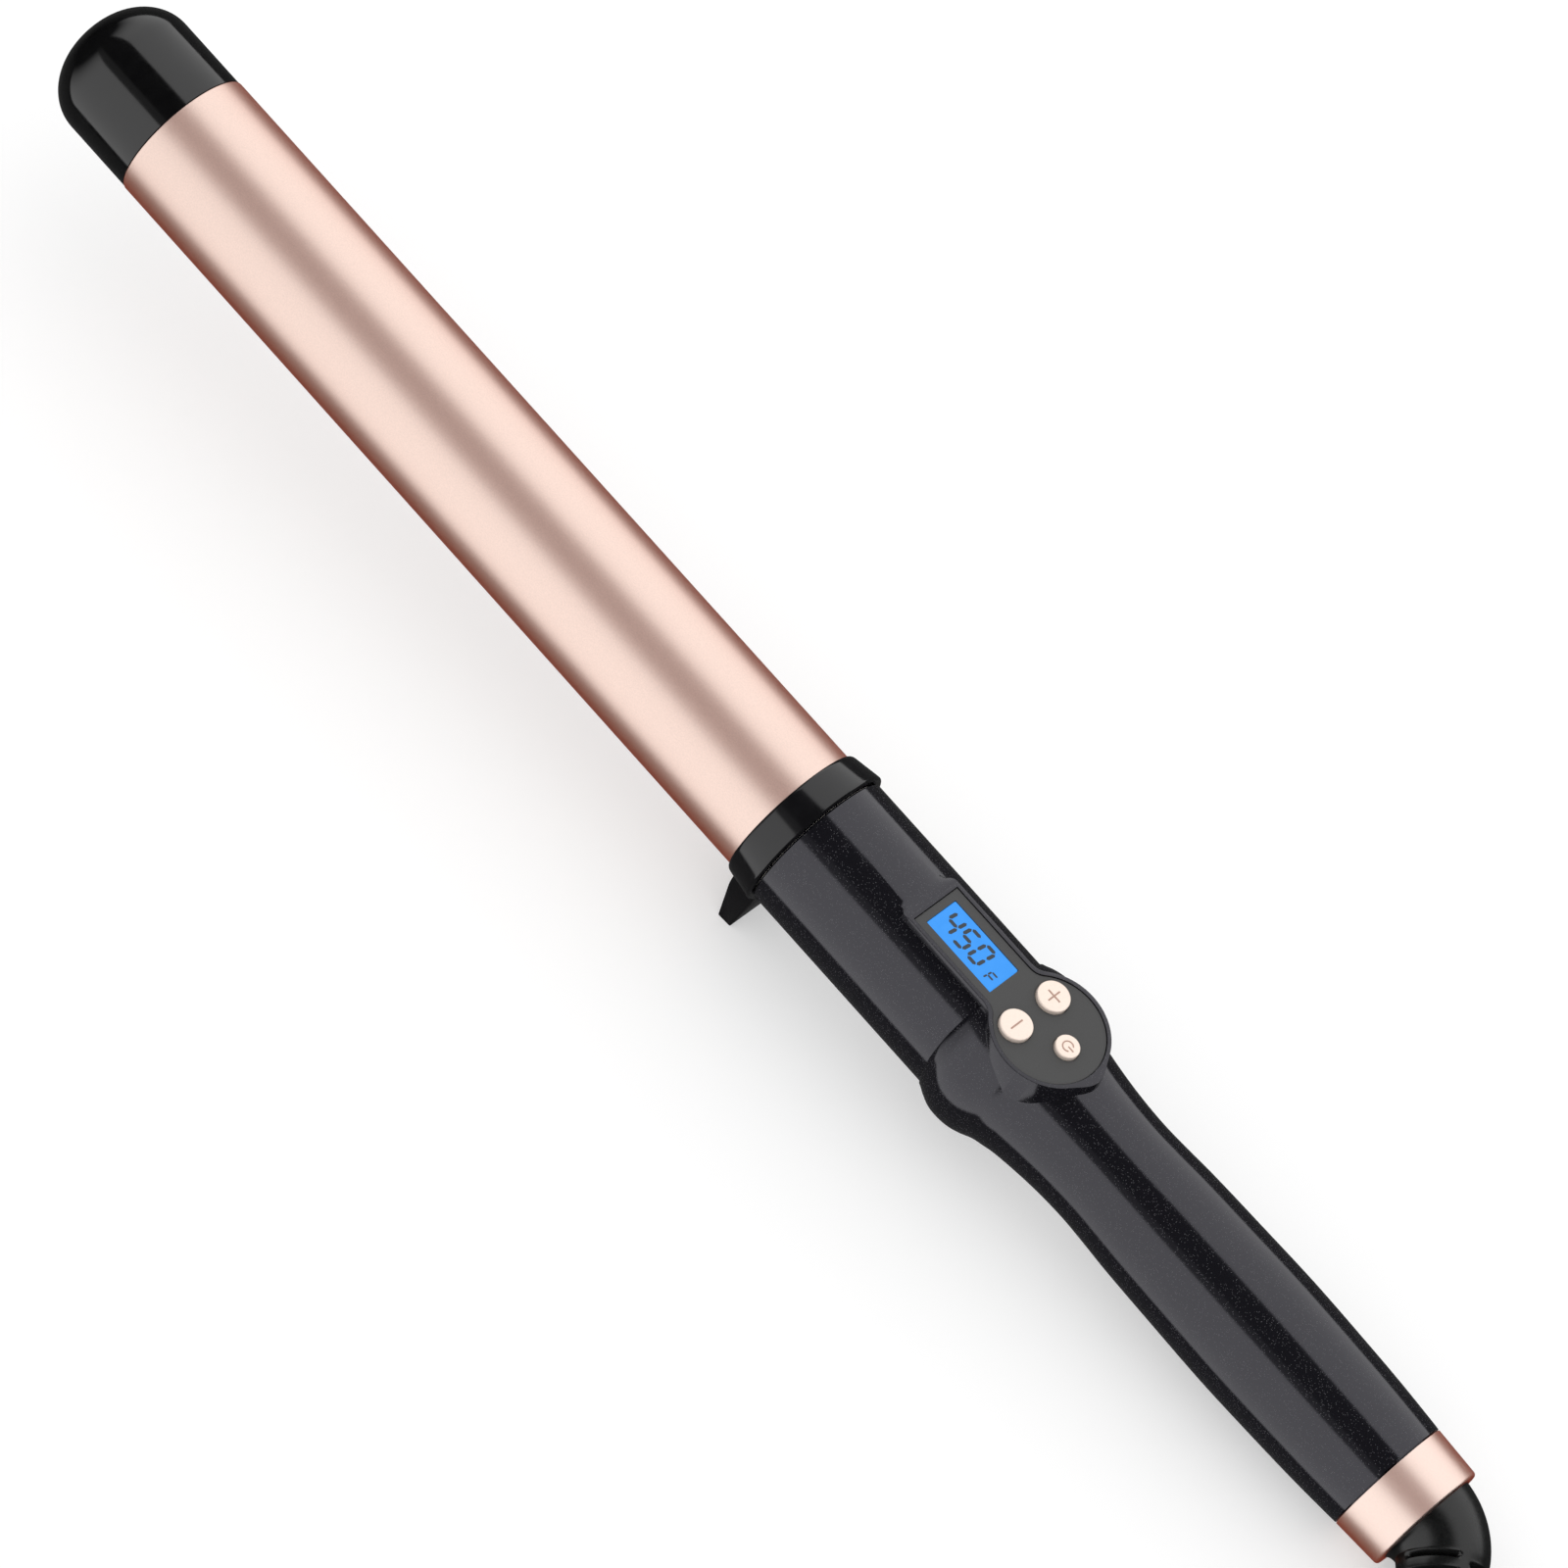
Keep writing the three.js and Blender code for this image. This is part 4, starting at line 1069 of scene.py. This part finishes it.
def make_window():
    half_l, half_w = WINDOW_LENGTH / 2 - 0.1, WINDOW_WIDTH / 2 - 0.1
    top = OVERLAY_TOP - 0.12

    def plan(grow):
        length, width = half_l + grow, half_w + grow
        x0, x1 = WINDOW_X - length, WINDOW_X + length
        y0, y1 = WINDOW_Y - width, WINDOW_Y + width
        return rounded([(x0, y0, 0.3), (x1, y0, 0.3), (x1, y1, 0.3), (x0, y1, 0.3)], 4)

    levels = [(0, OVERLAY_TOP - OVERLAY_THICK), (0, top - 0.08), (-0.08, top)]
    obj = put("display_window", stacked(plan, levels), IRON)
    return give(obj, LCD, "iron", "lcd_blue", "lcd_window")


SEGMENTS = {"0": "abcdef", "4": "bcfg", "5": "acdfg", "F": "aefg"}


def segment_bars(letter, x, y, width, height, bar):
    """Outlines of a digit's lit bars; digits read along +x with their tops towards +y."""
    w, h, gap = width / 2, height / 2, bar * 0.18
    lean = 0.12
    lines = {
        "a": ((-w, h), (w, h)), "b": ((w, h), (w, 0)), "c": ((w, 0), (w, -h)), "d": ((-w, -h), (w, -h)),
        "e": ((-w, 0), (-w, -h)), "f": ((-w, h), (-w, 0)), "g": ((-w, 0), (w, 0)),
    }
    made = []
    for key in SEGMENTS[letter]:
        start, end = Vector(lines[key][0]), Vector(lines[key][1])
        along = (end - start).normalized()
        side = Vector((-along.y, along.x)) * bar / 2
        start += along * gap
        end -= along * gap
        tip = along * bar / 2
        outline = [start, start + tip - side, end - tip - side, end, end - tip + side, start + tip + side]
        made.append([(x + p.x + p.y * lean, y + p.y) for p in outline])
    return made


def make_digits():
    top = OVERLAY_TOP - 0.12
    bm = bmesh.new()
    bars = []
    for letter, x in zip("450", (41.5, 45.7, 50.0)):
        bars += segment_bars(letter, x, -0.05, 2.7, 5.2, 0.82)
    bars += segment_bars("F", 54.75, -2.1, 1.7, 2.4, 0.42)
    for outline in bars:
        low = [bm.verts.new((x, y, top - 0.05)) for x, y in outline]
        high = [bm.verts.new((x, y, top + 0.02)) for x, y in outline]
        bm.faces.new(low)
        bm.faces.new(high)
        for i in range(len(outline)):
            j = (i + 1) % len(outline)
            bm.faces.new((low[i], low[j], high[j], high[i]))
    obj = put("display_digits", bm, IRON)
    return give(obj, LCD_INK, "iron", "lcd_blue")


def bar_mark(x, y, half_x, half_y, z):
    bm = bmesh.new()
    size = Matrix.Diagonal((2 * half_x, 2 * half_y, 0.12, 1))
    bmesh.ops.create_cube(bm, size=1, matrix=Matrix.Translation((x, y, z)) @ size)
    return bm


def arc_mark(x, y, r, thick, start, end, z, steps=40):
    """An open ring mark, in radians from +x."""
    low, high = z - 0.06, z + 0.06
    corners = ((r - thick, low), (r + thick, low), (r + thick, high), (r - thick, high))
    rings = []
    for i in range(steps + 1):
        a = start + (end - start) * i / steps
        rings.append([(x + at * math.cos(a), y + at * math.sin(a), height) for at, height in corners])
    return skin(rings)


def make_button(name, x, y, r):
    low, top = 15.2, BUTTON_TOP
    outline = rounded([(0, low, 0), (r, low, 0), (r, top, 0.35), (0, top, 0)], 6)
    cap = put(name + "_cap", upright(outline, x, y, 128), IRON)
    give(cap, ROSE_CAP, name + "_button", "rose_gold_trim", name + "_button")
    marks = {
        "plus": [bar_mark(x, y, 0.17, 1.7, top), bar_mark(x, y, 1.7, 0.17, top)],
        "minus": [bar_mark(x, y, 0.17, 1.7, top)],
        "power": [
            arc_mark(x, y, 1.15, 0.13, 0.7, 2 * math.pi - 0.7, top),
            bar_mark(x + 0.85, y, 0.75, 0.13, top),
        ],
    }[name]
    symbol = solid(name + "_symbol", marks[0])
    combine(symbol, marks[1:], "UNION")
    settle(symbol)
    give(symbol, SYMBOL, name + "_button", "rose_gold_trim")


# ---------------------------------------------------------------- tail ring
def make_ring():
    outline = rounded([
        (RING_FRONT, 11.9, 0), (RING_REAR - 1.5, 11.9, 0), (RING_REAR - 1.5, 11.3, 0), (RING_REAR, 11.3, 0.2),
        (RING_REAR, RING_REAR_R - 0.4, 0.3), (RING_REAR - 0.5, RING_REAR_R, 0.3), (RING_FRONT, RING_R, 0.15),
    ])
    obj = put("tail_band", turned(outline, 256), IRON)
    return give(obj, ROSE_TRIM, "iron", "rose_gold_trim", "tail_ring")


make_barrel()
make_tip()
make_collar()
make_handle()
make_cover()
for place, x in SCREWS.items():
    make_screw(place, x)
make_overlay()
make_window()
make_digits()
for name, (x, y, r) in BUTTONS.items():
    make_button(name, x, y, r)
make_ring()

# ---------------------------------------------------------------- inner pieces keep their CAD shape
INNER = [
    (CERAMIC, ["barrel_seat", "ptc_heater_front", "ptc_heater_rear"]),
    (ALUMINIUM, ["heat_spreader_upper", "heat_spreader_lower", "lcd_module"]),
    (STEEL, ["spreader_spring", "thermal_fuse"]),
    (COPPER, ["ntc_sensor", "brush_live", "brush_neutral", "slip_ring_live", "slip_ring_neutral"]),
    (INSULATOR, ["heater_lead_live", "heater_lead_neutral", "mains_lead_live", "mains_lead_neutral"]),
    (INSULATOR, ["swivel_retainer", "swivel_hub"]),
    (BOARD, ["control_board", "power_board"]),
    (CHIP, ["microcontroller", "triac", "switch_plus", "switch_minus", "switch_power"]),
    (FILM, ["film_capacitor"]),
]
for mat, names in INNER:
    for name in names:
        inner = frame["nodes"][name]
        inner.data.materials.clear()
        inner.data.materials.append(mat)


# ---------------------------------------------------------------- floor and light
def floor_material():
    mat = bpy.data.materials.new("pale_floor")
    mat.use_nodes = True
    shader = shader_of(mat)
    shader.inputs["Base Color"].default_value = (0.6, 0.6, 0.6, 1)
    shader.inputs["Emission Color"].default_value = (1, 1, 1, 1)
    shader.inputs["Emission Strength"].default_value = 0.42
    shader.inputs["Roughness"].default_value = 1.0
    shader.inputs["Specular IOR Level"].default_value = 0.0
    return mat


FLOOR_HALF = 8


def make_floor():
    bm = bmesh.new()
    bmesh.ops.create_grid(bm, x_segments=1, y_segments=1, size=FLOOR_HALF)
    floor = put("floor", bm, Matrix.Identity(4))
    floor.data.materials.append(floor_material())
    floor.visible_glossy = False


CARD_RADIUS = 1.2
ROSE_CARD_RADIUS = 1.15
CARD_FRONT, CARD_REAR = -3.4, 1.1  # metres along the barrel's axis
CARD_FADE = 0.55  # share of a card's length, from its front end


def card_material(name, color, radiance):
    """Adds its light to what lies behind it, so that cards can overlap."""
    mat = bpy.data.materials.new(name)
    mat.use_nodes = True
    mat.node_tree.nodes.clear()
    out = node(mat, "ShaderNodeOutputMaterial")
    place = node(mat, "ShaderNodeTexCoord")
    split = node(mat, "ShaderNodeSeparateXYZ")
    fade = node(mat, "ShaderNodeMapRange", interpolation_type="SMOOTHSTEP")
    fade.inputs["From Max"].default_value = CARD_FADE
    fade.inputs["To Max"].default_value = radiance
    light = node(mat, "ShaderNodeEmission")
    light.inputs["Color"].default_value = (*color, 1)
    clear = node(mat, "ShaderNodeBsdfTransparent")
    both = node(mat, "ShaderNodeAddShader")
    links = mat.node_tree.links
    links.new(place.outputs["Generated"], split.inputs["Vector"])
    links.new(split.outputs["X"], fade.inputs["Value"])
    links.new(fade.outputs["Result"], light.inputs["Strength"])
    links.new(light.outputs[0], both.inputs[0])
    links.new(clear.outputs[0], both.inputs[1])
    links.new(both.outputs[0], out.inputs["Surface"])
    return mat


def light_card(name, start, end, radiance, color=(1, 1, 1), receivers=None, front=CARD_FRONT):
    """A soft panel bent round the barrel's axis, seen only in reflections; angles from +z towards +y."""
    radius = ROSE_CARD_RADIUS if receivers else CARD_RADIUS
    bm = bmesh.new()
    steps = 32
    rows = []
    for i in range(steps + 1):
        a = math.radians(start + (end - start) * i / steps)
        y, z = radius * math.sin(a) / MM, radius * math.cos(a) / MM
        rows.append([bm.verts.new((x / MM, y, z)) for x in (front, CARD_REAR)])
    for (a, b), (c, d) in zip(rows, rows[1:]):
        bm.faces.new((a, b, d, c))
    card = put(name, bm, IRON)
    card.data.materials.append(card_material(name, color, radiance))
    card.visible_camera = False
    card.visible_diffuse = False
    card.visible_shadow = False
    card.visible_transmission = False
    if receivers:
        card.light_linking.receiver_collection = receivers


def make_light():
    world = bpy.data.worlds.new("world")
    world.use_nodes = True
    world.node_tree.nodes["Background"].inputs["Color"].default_value = (1, 1, 1, 1)
    world.node_tree.nodes["Background"].inputs["Strength"].default_value = 1.08
    bpy.context.scene.world = world
    world.cycles_visibility.glossy = False
    light_card("card_front", -136, -49, 1.55, front=-2.5)
    light_card("card_shoulder", -49, -37, 0.17)
    light_card("card_back", 1, 83, 1.55)
    light_card("card_fill_low", 86, 218, 0.06)
    rose_gold = bpy.data.collections.new("rose_gold")
    for name in ("barrel", "tail_band"):
        rose_gold.objects.link(bpy.data.objects[name])
    light_card("card_rose_gap", -48, 1, 0.54, (1, 0.795, 0.762), rose_gold)
    light_card("card_rose_low", 83, 223, 0.24, (1, 0.5, 0.35), rose_gold)
    bpy.context.scene.view_settings.view_transform = "Standard"


make_floor()
make_light()
